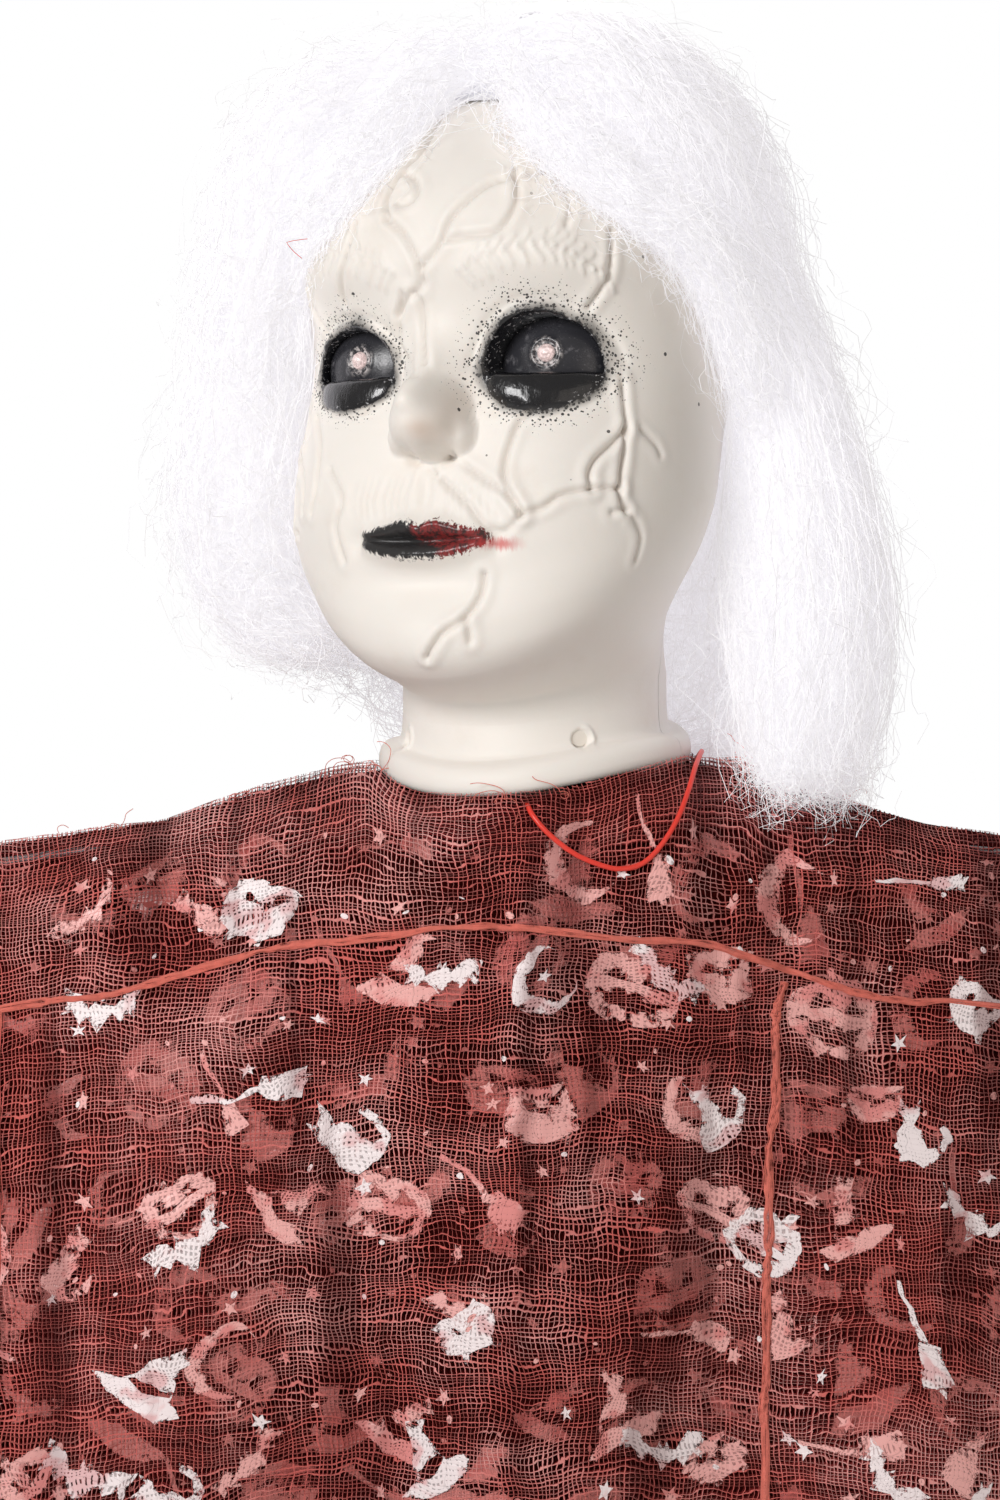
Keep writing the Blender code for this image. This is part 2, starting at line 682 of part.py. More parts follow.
def lid_cutter(side, parent):
    """The opening between the lids: a flat lower line under a round arch."""
    bm = bmesh.new()
    bmesh.ops.create_cone(
        bm, cap_ends=True, segments=28, radius1=1, radius2=1, depth=EYEBALL_HALF_DEPTH + FACE_REACH / 4
    )
    bmesh.ops.rotate(bm, matrix=Matrix.Rotation(math.pi / 2, 3, "X"), verts=bm.verts)
    full = LID_RISE + LID_LINE_DROP
    bmesh.ops.scale(bm, vec=(LID_HALF_WIDTH, 1, full), verts=bm.verts)
    cut = bmesh.ops.bisect_plane(
        bm,
        geom=bm.verts[:] + bm.edges[:] + bm.faces[:],
        plane_co=(0, 0, 0),
        plane_no=(0, 0, -1),
        clear_outer=True,
    )
    rim = [item for item in cut["geom_cut"] if isinstance(item, bmesh.types.BMEdge)]
    bmesh.ops.contextual_create(bm, geom=rim)
    place = Matrix.Translation((0, -EYEBALL_HALF_DEPTH, EYEBALL_DROP - LID_LINE_DROP))
    bmesh.ops.transform(bm, matrix=eye_matrix(side) @ place, verts=bm.verts)
    return add_cutter(f"lid_opening_{'left' if side < 0 else 'right'}", bm, parent)


def catch_places():
    """Angle from the front and height of each catch of the neck plug, on the sloping ring."""
    for angle in (math.pi / 4, 3 * math.pi / 4, -3 * math.pi / 4, -math.pi / 4):
        yield angle, PLUG_HEIGHT - NECK_SLOPE * NECK_RADIUS * math.cos(angle)


def radial_cylinder(bm, radius, start, end, angle, height, segments=16):
    """A cylinder that points out from the neck axis."""
    turn = Matrix.Rotation(angle, 4, "Z") @ Matrix.Rotation(math.pi / 2, 4, "X")
    middle = (start + end) / 2
    place = Matrix.Translation((math.sin(angle) * middle, -math.cos(angle) * middle, height))
    bmesh.ops.create_cone(
        bm,
        cap_ends=True,
        segments=segments,
        radius1=radius,
        radius2=radius,
        depth=end - start,
        matrix=place @ turn,
    )


def build_shells(head, ivory):
    catch_holes = bmesh.new()
    for angle, height in catch_places():
        radial_cylinder(
            catch_holes, CATCH_RADIUS + CATCH_HOLE_GAP, PLUG_RADIUS / 2, NECK_RADIUS + CUT_OVERRUN, angle, height
        )
    holes = add_cutter("catch_holes", catch_holes, head)
    shank_hole = bmesh.new()
    cylinder(
        shank_hole,
        SHANK_RADIUS + RUN_GAP,
        HEAD_RISE - SHELL_WALL - CUT_OVERRUN,
        HEAD_RISE + CUT_OVERRUN,
        segments=16,
    )
    crown_hole = add_cutter("crown_hole", shank_hole, head)
    hollow = add_cutter("head_hollow", hollow_mesh(), head)
    for name, front in (("face_shell", True), ("back_shell", False)):
        skin = skin_grid(head_rings(fine=front), HEAD_COLUMNS)
        if front:
            refine_features(skin)
        close_foot(skin)
        shell = add_part(name, skin, ivory, head)
        boolean(shell, hollow)
        boolean(shell, half_space(f"{name}_cut", head, not front))
        boolean(shell, holes)
        boolean(shell, crown_hole)
        if front:
            for side in (-1, 1):
                word = "left" if side < 0 else "right"
                boolean(shell, lid_cutter(side, head))
                room = add_cutter(f"eyeball_room_{word}", eyeball_mesh(side, SEAT_GAP), head)
                boolean(shell, room, solver="MANIFOLD")


def build_eyes(head, charcoal, clear, lead_red):
    for side, word in ((-1, "left"), (1, "right")):
        eyeball = add_part(f"eyeball_{word}", eyeball_mesh(side), charcoal, head)
        bore = bmesh.new()
        cylinder(bore, LAMP_RADIUS + SEAT_GAP, -EYEBALL_THICKNESS - CUT_OVERRUN, CUT_OVERRUN)
        bmesh.ops.transform(bore, matrix=lamp_matrix(side), verts=bore.verts)
        boolean(eyeball, add_cutter(f"lamp_bore_{word}", bore, head))
        lamp = bmesh.new()
        back = -EYEBALL_THICKNESS - SEAT_GAP
        dome = LAMP_PROUD - LAMP_RADIUS
        profile = [(LAMP_RADIUS * math.cos(a), dome + LAMP_RADIUS * math.sin(a)) for a in dome_angles()]
        profile += [(LAMP_RADIUS, back), (LAMP_RIM, back), (LAMP_RIM, back - LAMP_RIM_THICKNESS)]
        turn_profile(lamp, profile, (0, back - LAMP_RIM_THICKNESS), segments=20)
        bmesh.ops.transform(lamp, matrix=lamp_matrix(side), verts=lamp.verts)
        add_part(f"eye_lamp_{word}", lamp, clear, head)
        start = lamp_matrix(side) @ Vector((0, 0, back - LAMP_RIM_THICKNESS - SEAT_GAP))
        add_wire(f"lamp_lead_{word}", lamp_lead_route(start, side), LEAD_RADIUS, lead_red, head)


def dome_angles(steps=4):
    """Angles from the top of a dome down to its foot, leaving out the pole."""
    return [math.pi / 2 * (1 - k / steps) for k in range(1, steps + 1)]


def turn_profile(bm, profile, bottom, segments=24, top=None):
    """A solid turned about z: a profile from near the top down its outer side, closed at both ends."""
    first = top if top is not None else (0.0, profile[0][1] + profile[0][0] ** 2 / (2 * profile[1][0]))
    points = [first, *profile, bottom]
    verts = [bm.verts.new((r, 0, z)) for r, z in points]
    edges = [bm.edges.new(pair) for pair in zip(verts, verts[1:])]
    bmesh.ops.spin(
        bm,
        geom=verts + edges,
        axis=(0, 0, 1),
        cent=(0, 0, 0),
        angle=2 * math.pi,
        steps=segments,
        use_merge=True,
    )
    bmesh.ops.remove_doubles(bm, verts=bm.verts, dist=RING_WIRE / 100)


def lamp_lead_route(start, side):
    """From the back of a lamp, straight back, then down to just above the neck plug."""
    foot = PLUG_HEIGHT + PLUG_THICKNESS + BOSS_RISE
    back = Vector((0, EYEBALL_HALF_DEPTH, 0))
    points = [
        start,
        start + back / 2,
        start + back + Vector((0, 0, -LAMP_LENGTH / 2)),
        Vector((side * LEAD_HOLE_PLACE, start.y + 2 * EYEBALL_HALF_DEPTH, EYE_HEIGHT - EYE_SPACING)),
        Vector((side * LEAD_HOLE_PLACE / 2, -LEAD_HOLE_PLACE, (EYE_HEIGHT + foot) / 2)),
        Vector((side * LEAD_HOLE_PLACE / 4, -LEAD_HOLE_PLACE, foot)),
    ]
    return smooth_route(points, EYEBALL_HALF_DEPTH / 2)


def build_hanger(hanger, head, steel):
    points = [
        (RING_RADIUS * math.sin(a), 0, RING_CENTRE + RING_RADIUS * math.cos(a))
        for a in (2 * math.pi * k / 24 for k in range(24))
    ]
    add_wire("hanging_ring", points, RING_WIRE, steel, hanger, closed=True)
    middle = EYE_CENTRE - DATUM
    eye = bmesh.new()
    radius = EYE_HOLE + EYE_WIRE
    spin_ring(eye, radius, EYE_WIRE, middle)
    eye_part = add_part("crown_eye", eye, steel, head)
    shank = bmesh.new()
    cylinder(shank, SHANK_RADIUS, middle - radius - SHANK_LENGTH, middle - radius, segments=16)
    boolean(eye_part, add_cutter("crown_shank", shank, head), "UNION")
    seat = HEAD_RISE - SHELL_WALL - WASHER_SEAT_DROP
    washer = bmesh.new()
    cylinder(washer, WASHER_RADIUS, seat - WASHER_THICKNESS, seat, segments=20)
    washer_part = add_part("crown_washer", washer, steel, head)
    nut = bmesh.new()
    nut_top = seat - WASHER_THICKNESS - SEAT_GAP
    cylinder(nut, NUT_RADIUS, nut_top - NUT_HEIGHT, nut_top, segments=6)
    nut_part = add_part("crown_nut", nut, steel, head)
    bore = bmesh.new()
    cylinder(bore, SHANK_RADIUS + RUN_GAP, seat - CUT_OVERRUN - NUT_HEIGHT, seat + CUT_OVERRUN, segments=16)
    bore_cutter = add_cutter("crown_bore", bore, head)
    boolean(washer_part, bore_cutter)
    boolean(nut_part, bore_cutter)


def spin_ring(bm, radius, wire, height):
    """A round ring of wire in the YZ plane."""
    place = Matrix.Translation((0, 0, height + radius)) @ Matrix.Rotation(math.pi / 2, 4, "X")
    bmesh.ops.create_circle(bm, segments=8, radius=wire, matrix=place)
    bmesh.ops.spin(
        bm,
        geom=bm.verts[:] + bm.edges[:],
        axis=(1, 0, 0),
        cent=(0, 0, height),
        angle=2 * math.pi,
        steps=18,
        use_merge=True,
    )
    bmesh.ops.remove_doubles(bm, verts=bm.verts, dist=RING_WIRE / 100)


def lock_mesh(shares, half_width, half_thickness, side):
    """A swelling lock of hair: a sphere drawn out along a path of shares, out along X, or back along Y."""
    bm = bmesh.new()
    bmesh.ops.create_uvsphere(bm, u_segments=14, v_segments=12, radius=1)
    last = len(shares) - 1
    for vert in bm.verts:
        along = last * (1 - vert.co.z) / 2
        out = smooth_value(shares, along, 0) * LOCK_REACH
        height = smooth_value(shares, along, 1) * HAIR_RISE
        thick = smooth_value(shares, along, 2) * half_thickness
        ahead = min(along + 0.2, last)
        behind = max(along - 0.2, 0)
        run = Vector(
            (
                (smooth_value(shares, ahead, 0) - smooth_value(shares, behind, 0)) * LOCK_REACH,
                (smooth_value(shares, ahead, 1) - smooth_value(shares, behind, 1)) * HAIR_RISE,
            )
        ).normalized()
        radius = math.hypot(vert.co.x, vert.co.y)
        blunt = max(radius, SEAT_GAP) ** (LOCK_BLUNTNESS - 1)
        across = vert.co.x * blunt * thick
        aside = vert.co.y * blunt * smooth_value(shares, along, 4) * half_width
        aside -= smooth_value(shares, along, 3) * LOCK_FORWARD
        place_out, place_up = out - run.y * across, height + run.x * across
        if side:
            vert.co = (side * place_out, aside, place_up)
        else:
            vert.co = (aside, place_out - BACK_WRAP * (aside / half_width) ** 2, place_up)
    return bm


def keep_side(bm, place, normal):
    """Cuts a closed mesh flat and keeps the side that the normal points to."""
    cut = bmesh.ops.bisect_plane(
        bm,
        geom=bm.verts[:] + bm.edges[:] + bm.faces[:],
        plane_co=place,
        plane_no=[-n for n in normal],
        clear_outer=True,
    )
    rim = [item for item in cut["geom_cut"] if isinstance(item, bmesh.types.BMEdge)]
    if rim:
        bmesh.ops.holes_fill(bm, edges=rim, sides=0)


def build_wig(head, white, cap_cloth):
    rings = head_rings()
    first = next(i for i, row in enumerate(rings) if row[1] >= CAP_EDGE)
    cap = add_part("wig_cap", skin_grid(rings, HEAD_COLUMNS, CAP_GAP + RUN_GAP, first), cap_cloth, head)
    cloth = cap.modifiers.new("cloth", "SOLIDIFY")
    cloth.thickness = CAP_THICKNESS
    cloth.offset = 1
    slot = bmesh.new()
    cylinder(slot, RING_SLOT_HALF_WIDTH * 0.75, HEAD_RISE - CUT_OVERRUN, HEAD_RISE + 2 * CUT_OVERRUN, segments=16)
    boolean(cap, add_cutter("cap_eye_hole", slot, head))
    room = skin_grid(rings, HEAD_COLUMNS, HAIR_CLEARANCE)
    close_foot(room)
    skull = add_cutter("skull_room", room, head)
    for name, shares, side in (("hair_left", LEFT_LOCK_SHARES, -1), ("hair_right", RIGHT_LOCK_SHARES, 1)):
        lock = lock_mesh(shares, LOCK_HALF_DEPTH, LOCK_HALF_THICKNESS, side)
        keep_side(lock, (0, HAIR_SPLIT - SEAT_GAP, 0), (0, -1, 0))
        keep_side(lock, (side * RING_SLOT_HALF_WIDTH, 0, 0), (side, 0, 0))
        boolean(add_part(name, lock, white, head), skull)
    back = lock_mesh(BACK_LOCK_SHARES, BACK_HALF_WIDTH, BACK_HALF_THICKNESS, 0)
    keep_side(back, (0, HAIR_SPLIT + SEAT_GAP, 0), (0, 1, 0))
    boolean(add_part("hair_back", back, white, head), skull)


def build_neck_plug(head, ivory, steel):
    plug = bmesh.new()
    cylinder(plug, PLUG_RADIUS, -PLUG_THICKNESS / 2, PLUG_THICKNESS / 2, segments=40)
    slope = Matrix.Rotation(math.atan(NECK_SLOPE), 4, "X")
    bmesh.ops.transform(plug, matrix=Matrix.Translation((0, 0, PLUG_HEIGHT)) @ slope, verts=plug.verts)
    part = add_part("neck_plug", plug, ivory, head)
    boss_foot = SOCKET_TOP + RUN_GAP
    boss = bmesh.new()
    cylinder(boss, BOSS_RADIUS, boss_foot, PLUG_HEIGHT + BOSS_RISE, segments=24)
    boolean(part, add_cutter("plug_boss", boss, head), "UNION")
    catches = bmesh.new()
    for angle, height in catch_places():
        radial_cylinder(catches, CATCH_RADIUS, PLUG_RADIUS * 0.8, PLUG_RADIUS + CATCH_PROUD, angle, height)
    boolean(part, add_cutter("plug_catches", catches, head), "UNION")
    bores = bmesh.new()
    cylinder(
        bores, BOLT_RADIUS + BOLT_BORE_GAP, boss_foot - CUT_OVERRUN, PLUG_HEIGHT + BOSS_RISE + CUT_OVERRUN, segments=20
    )
    cylinder(
        bores,
        LEAD_HOLE_RADIUS,
        PLUG_HEIGHT - PLUG_RADIUS,
        PLUG_HEIGHT + PLUG_RADIUS,
        centre=(0, -LEAD_HOLE_PLACE),
        segments=16,
    )
    boolean(part, add_cutter("plug_bores", bores, head))
    top = PLUG_HEIGHT + BOSS_RISE + SEAT_GAP
    foot = ARM_HEIGHT - SOCKET_RADIUS - RUN_GAP
    bolt = bmesh.new()
    profile = [
        (BOLT_HEAD_RADIUS * 0.8, top + BOLT_HEAD_HEIGHT),
        (BOLT_HEAD_RADIUS, top + BOLT_HEAD_HEIGHT * 0.7),
        (BOLT_HEAD_RADIUS, top),
        (BOLT_RADIUS, top),
        (BOLT_RADIUS, foot - NUT_HEIGHT - SEAT_GAP),
    ]
    turn_profile(bolt, profile, (0, foot - NUT_HEIGHT - SEAT_GAP), segments=20, top=(0, top + BOLT_HEAD_HEIGHT))
    add_part("pivot_bolt", bolt, steel, head)
    nut = bmesh.new()
    cylinder(nut, BOLT_HEAD_RADIUS, foot - NUT_HEIGHT, foot, segments=6)
    nut_part = add_part("pivot_nut", nut, steel, head)
    hole = bmesh.new()
    cylinder(hole, BOLT_RADIUS + SEAT_GAP, foot - NUT_HEIGHT - CUT_OVERRUN, foot + CUT_OVERRUN, segments=20)
    boolean(nut_part, add_cutter("pivot_nut_bore", hole, head))


def ridge_fall(x):
    """How far the shoulder ridge has fallen at a distance from the neck axis."""
    return SHOULDER_FALL * table_value(RIDGE_SHARES, abs(x) / GOWN_HALF_WIDTH)


def build_shoulders(torso, grey):
    hub = bmesh.new()
    plate_top = SHEET_RIDGE
    cylinder(hub, HUB_RADIUS, plate_top - HUB_PLATE, plate_top, segments=40)
    part = add_part("shoulder_hub", hub, grey, torso)
    sockets = bmesh.new()
    bmesh.ops.create_cone(
        sockets,
        cap_ends=True,
        segments=24,
        radius1=SOCKET_RADIUS,
        radius2=SOCKET_RADIUS,
        depth=2 * ARM_SOCKET_END,
        matrix=Matrix.Translation((0, 0, ARM_HEIGHT)) @ Matrix.Rotation(math.pi / 2, 4, "Y"),
    )
    boolean(part, add_cutter("hub_sockets", sockets, torso), "UNION")
    posts = bmesh.new()
    for side in (-1, 1):
        cylinder(posts, POST_RADIUS, BOX_TOP + SEAT_GAP, ARM_HEIGHT, centre=(side * POST_PLACE, 0), segments=20)
    boolean(part, add_cutter("hub_posts", posts, torso), "UNION")
    bores = bmesh.new()
    cylinder(bores, BOLT_RADIUS + RUN_GAP, BOX_TOP, 0, segments=20)
    for side in (-1, 1):
        cylinder(
            bores,
            SCREW_RADIUS + SEAT_GAP,
            BOX_TOP - CUT_OVERRUN,
            BOX_TOP + SCREW_LENGTH,
            centre=(side * POST_PLACE, 0),
            segments=12,
        )
    bore_cutter = add_cutter("hub_bores", bores, torso)
    lead_holes = bmesh.new()
    for x, y, _ in (RED_LEAD_ROUTE[5], RED_LEAD_ROUTE[25]):
        cylinder(
            lead_holes,
            LEAD_RADIUS * 7 / 2,
            plate_top - HUB_PLATE - CUT_OVERRUN / 4,
            plate_top + CUT_OVERRUN,
            centre=(x, y),
            segments=12,
        )
    arms = bmesh.new()
    for side in (-1, 1):
        bmesh.ops.create_cone(
            arms,
            cap_ends=True,
            segments=20,
            radius1=ARM_RADIUS + SEAT_GAP,
            radius2=ARM_RADIUS + SEAT_GAP,
            depth=ARM_SOCKET_END - ARM_START + SEAT_GAP + CUT_OVERRUN,
            matrix=Matrix.Translation(
                (side * (ARM_START - SEAT_GAP + ARM_SOCKET_END + CUT_OVERRUN) / 2, 0, ARM_HEIGHT)
            )
            @ Matrix.Rotation(math.pi / 2, 4, "Y"),
        )
    boolean(part, bore_cutter)
    boolean(part, add_cutter("hub_lead_holes", lead_holes, torso))
    boolean(part, add_cutter("hub_arm_bores", arms, torso))
    for side, word in ((-1, "left"), (1, "right")):
        bends = [ARM_START, ARM_SOCKET_END]
        bends += [share * GOWN_HALF_WIDTH for share in COLUMN_SHARES[:-1]]
        bends.append(GOWN_HALF_WIDTH - ARM_DRAPE_REACH)
        points = [(side * x, 0, ARM_HEIGHT - ridge_fall(x)) for x in bends]
        add_wire(f"shoulder_arm_{word}", points, ARM_RADIUS, grey, torso, resolution=3)


def gown_columns():
    """Distances of the gown's columns from the neck axis, left to right."""
    half = [share * NECK_HOLE_RADIUS for share in NECK_COLUMN_SHARES]
    half += [share * GOWN_HALF_WIDTH for share in COLUMN_SHARES]
    return [-x for x in reversed(half[1:])] + half


def gown_point(x, down, facing):
    """A point of the lining's outer skin: rows 0 to 2 turn over the shoulder, the rest hang."""
    side = abs(x)
    top = SHEET_RIDGE - ridge_fall(x)
    reach_share = 1 - ease((side - NECK_HOLE_RADIUS / 2) / (3 * NECK_HOLE_RADIUS))
    front = ARM_DRAPE_REACH + (CHEST_REACH - ARM_DRAPE_REACH) * reach_share
    inside = max(SEAT_GAP, math.sqrt(max(0.0, NECK_HOLE_RADIUS**2 - x * x)))
    start = min(inside, front - LINING_THICKNESS)
    if down < 0:
        return Vector((x, facing * start, top))
    turn = ROW_SHARES[0] * GOWN_LENGTH
    if down == 0:
        return Vector((x, facing * (start + (front - start) * 0.8), top - turn / 5))
    edge = (side / GOWN_HALF_WIDTH) ** 2
    hem = HEM_REACH + (HEM_EDGE_REACH - HEM_REACH) * edge
    fallen = ease(down * 2.2)
    fold = FOLD_DEPTH * ease(down * 3) * (1 - edge * edge) * math.cos(2 * math.pi * x / FOLD_WIDTH)
    reach = front + (hem - front) * fallen + fold
    hem_height = top - (GOWN_LENGTH - ridge_fall(x)) * down
    return Vector((x, facing * reach, hem_height))


def gown_mesh(facing):
    """The gown's front or back as one open sheet."""
    columns = gown_columns()
    rows = [-1.0, 0.0, *ROW_SHARES]
    bm = bmesh.new()
    bmesh.ops.create_grid(bm, x_segments=len(columns) - 1, y_segments=len(rows) - 1, size=0.5)
    bm.verts.ensure_lookup_table()
    for index, vert in enumerate(bm.verts):
        i, j = divmod(index, len(columns))
        vert.co = gown_point(columns[j], rows[i], facing)
    bm.normal_update()
    middle = bm.verts[len(columns) * (len(rows) - 1) + len(columns) // 2]
    if middle.normal.y * facing < 0:
        bmesh.ops.reverse_faces(bm, faces=bm.faces)
    bm.normal_update()
    return bm


def add_sheet(name, bm, thickness, offset, material, parent):
    mesh = bpy.data.meshes.new(name)
    bm.to_mesh(mesh)
    bm.free()
    obj = bpy.data.objects.new(name, mesh)
    PARTS.objects.link(obj)
    obj.parent = parent
    mesh.materials.append(material)
    mesh.shade_smooth()
    cloth = obj.modifiers.new("cloth", "SOLIDIFY")
    cloth.thickness = thickness
    cloth.offset = offset


def build_gown(torso, black, red):
    for word, facing in (("front", -1), ("back", 1)):
        add_sheet(f"robe_lining_{word}", gown_mesh(facing), LINING_THICKNESS, -1, black, torso)
        gauze = gown_mesh(facing)
        for vert in gauze.verts:
            vert.co += vert.normal * LAYER_GAP
            vert.co.y = facing * max(facing * vert.co.y, SEAT_GAP)
        add_sheet(f"robe_gauze_{word}", gauze, GAUZE_THICKNESS, 1, red, torso)


def build_battery_box(torso, cover_frame, knob_frame, black, steel, cell_skin, brass):
    low, high = (-BOX_HALF_WIDTH, -BOX_HALF_DEPTH, BOX_FLOOR), (BOX_HALF_WIDTH, BOX_HALF_DEPTH, BOX_TOP)
    body = bmesh.new()
    box(body, low, high)
    upright = [e for e in body.edges if abs(e.verts[0].co.z - e.verts[1].co.z) > BOX_WALL]
    bevel_edges(body, upright, BOX_WALL / 2)
    part = add_part("battery_box", body, black, torso)
    rails = bmesh.new()
    rail_back = BOX_HALF_DEPTH - RAIL_SET_IN + RAIL_THICKNESS
    box(
        rails,
        (-BOX_HALF_WIDTH - RAIL_PROUD, BOX_HALF_DEPTH - RAIL_SET_IN, BOX_FLOOR + BOX_WALL),
        (BOX_HALF_WIDTH + RAIL_PROUD, rail_back, BOX_TOP - BOX_WALL),
    )
    boolean(part, add_cutter("box_rails", rails, torso), "UNION")
    shelf = BOX_FLOOR + 2 * BOX_WALL + SWITCH_HEIGHT
    rooms = bmesh.new()
    inner = BOX_HALF_WIDTH - BOX_WALL
    box(
        rooms,
        (-inner, -BOX_HALF_DEPTH + BOX_WALL, shelf + BOX_WALL),
        (inner, BOX_HALF_DEPTH + CUT_OVERRUN, BOX_TOP - BOX_WALL),
    )
    boolean(part, add_cutter("box_cell_room", rooms, torso))
    switch_room = bmesh.new()
    box(
        switch_room,
        (-inner, -BOX_HALF_DEPTH + BOX_WALL, BOX_FLOOR + BOX_WALL),
        (inner, BOX_HALF_DEPTH + CUT_OVERRUN, shelf),
    )
    boolean(part, add_cutter("box_switch_room", switch_room, torso))
    holes = bmesh.new()
    slot = KNOB_HALF_WIDTH + KNOB_TRAVEL / 2 + RUN_GAP
    box(
        holes,
        (-slot, -KNOB_HALF_DEPTH - RUN_GAP, BOX_FLOOR - CUT_OVERRUN),
        (slot, KNOB_HALF_DEPTH + RUN_GAP, BOX_FLOOR + BOX_WALL + RUN_GAP),
    )
    boolean(part, add_cutter("box_knob_slot", holes, torso))
    screw_holes = bmesh.new()
    for side in (-1, 1):
        cylinder(
            screw_holes,
            SCREW_RADIUS + SEAT_GAP,
            BOX_TOP - BOX_WALL - CUT_OVERRUN / 4,
            BOX_TOP + CUT_OVERRUN,
            centre=(side * POST_PLACE, 0),
            segments=12,
        )
    boolean(part, add_cutter("box_screw_holes", screw_holes, torso))
    for side, word in ((-1, "left"), (1, "right")):
        screw = bmesh.new()
        under = BOX_TOP - BOX_WALL - SEAT_GAP
        profile = [
            (SCREW_RADIUS, under + SCREW_LENGTH - SEAT_GAP),
            (SCREW_RADIUS, under),
            (SCREW_HEAD_RADIUS, under),
            (SCREW_HEAD_RADIUS * 0.8, under - SCREW_HEAD_HEIGHT),
        ]
        turn_profile(
            screw,
            profile,
            (0, under - SCREW_HEAD_HEIGHT),
            segments=12,
            top=(0, under + SCREW_LENGTH - SEAT_GAP),
        )
        bmesh.ops.translate(screw, vec=(side * POST_PLACE, 0, 0), verts=screw.verts)
        add_part(f"box_screw_{word}", screw, steel, torso)
    build_cells(torso, shelf, cell_skin, steel, brass)
    build_cover(cover_frame, black)
    build_switch(torso, knob_frame, black, steel)


def build_cells(torso, shelf, cell_skin, steel, brass):
    floor = shelf + BOX_WALL
    ceiling = BOX_TOP - BOX_WALL
    head_room = SCREW_HEAD_HEIGHT + 2 * SEAT_GAP
    middle_depth = (-BOX_HALF_DEPTH + BOX_WALL + SEAT_GAP) + CELL_RADIUS
    for side, word in ((-1, "left"), (1, "right")):
        spring_foot = floor + PLATE_THICKNESS + 2 * SEAT_GAP + SPRING_WIRE
        foot = spring_foot + SPRING_LENGTH + SPRING_WIRE + SEAT_GAP
        cell = bmesh.new()
        top = foot + CELL_LENGTH
        profile = [
            (CELL_NUB_RADIUS, top + CELL_NUB_RISE),
            (CELL_NUB_RADIUS, top),
            (CELL_RADIUS * 0.95, top),
            (CELL_RADIUS, top - CELL_NUB_RISE / 2),
            (CELL_RADIUS, foot + CELL_NUB_RISE / 2),
            (CELL_RADIUS * 0.95, foot),
        ]
        turn_profile(cell, profile, (0, foot), segments=20, top=(0, top + CELL_NUB_RISE))
        bmesh.ops.translate(cell, vec=(side * CELL_PLACE, middle_depth, 0), verts=cell.verts)
        add_part(f"battery_cell_{word}", cell, cell_skin, torso)
        steps = 9 * SPRING_TURNS
        points = []
        for k in range(steps + 1):
            angle = 2 * math.pi * k / 9
            narrow = 1 - 0.35 * k / steps
            points.append(
                (
                    side * CELL_PLACE + SPRING_RADIUS * narrow * math.cos(angle),
                    middle_depth + SPRING_RADIUS * narrow * math.sin(angle),
                    spring_foot + SPRING_LENGTH * k / steps,
                )
            )
        add_wire(f"contact_spring_{word}", points, SPRING_WIRE, steel, torso, resolution=1)
    plates = (
        ("contact_plate_lower", floor + SEAT_GAP),
        ("contact_plate_upper", ceiling - head_room - PLATE_THICKNESS),
    )
    for name, low in plates:
        plate = bmesh.new()
        half = CELL_PLACE + CELL_RADIUS * 0.7
        box(
            plate,
            (-half, middle_depth - CELL_RADIUS / 2, low),
            (half, middle_depth + CELL_RADIUS / 2, low + PLATE_THICKNESS),
        )
        add_part(name, plate, brass, torso)


def build_cover(cover_frame, black):
    """The cover: a plate over the box's open back, with lips that hook round the rails."""
    plate = bmesh.new()
    face = BOX_HALF_DEPTH + RUN_GAP
    outside = BOX_HALF_WIDTH + RAIL_PROUD + RUN_GAP
    edge = outside + COVER_THICKNESS
    rail_front = BOX_HALF_DEPTH - RAIL_SET_IN
    box(plate, (-edge, face, BOX_FLOOR), (edge, face + COVER_THICKNESS, BOX_TOP))
    part = add_part("battery_cover", plate, black, cover_frame)
    lips = bmesh.new()
    for side in (-1, 1):
        near, far = sorted((side * outside, side * edge))
        box(lips, (near, rail_front - RUN_GAP - COVER_THICKNESS, BOX_FLOOR), (far, face + COVER_THICKNESS / 2, BOX_TOP))
    boolean(part, add_cutter("cover_lips", lips, cover_frame), "UNION")
    hooks = bmesh.new()
    for side in (-1, 1):
        near, far = sorted((side * (BOX_HALF_WIDTH + RUN_GAP), side * (outside + COVER_THICKNESS / 2)))
        front = rail_front - RUN_GAP
        box(hooks, (near, front - COVER_THICKNESS, BOX_FLOOR), (far, front, BOX_TOP))
    boolean(part, add_cutter("cover_hooks", hooks, cover_frame), "UNION")
    grips = bmesh.new()
    pitch = 2.5 * COVER_GRIP_PROUD
    for k in range(5):
        low = BOX_FLOOR + BOX_LENGTH * 0.7 + k * pitch
        box(
            grips,
            (-BOX_HALF_WIDTH / 2, face + COVER_THICKNESS / 2, low),
            (BOX_HALF_WIDTH / 2, face + COVER_THICKNESS + COVER_GRIP_PROUD, low + COVER_GRIP_PROUD),
        )
    boolean(part, add_cutter("cover_grips", grips, cover_frame), "UNION")


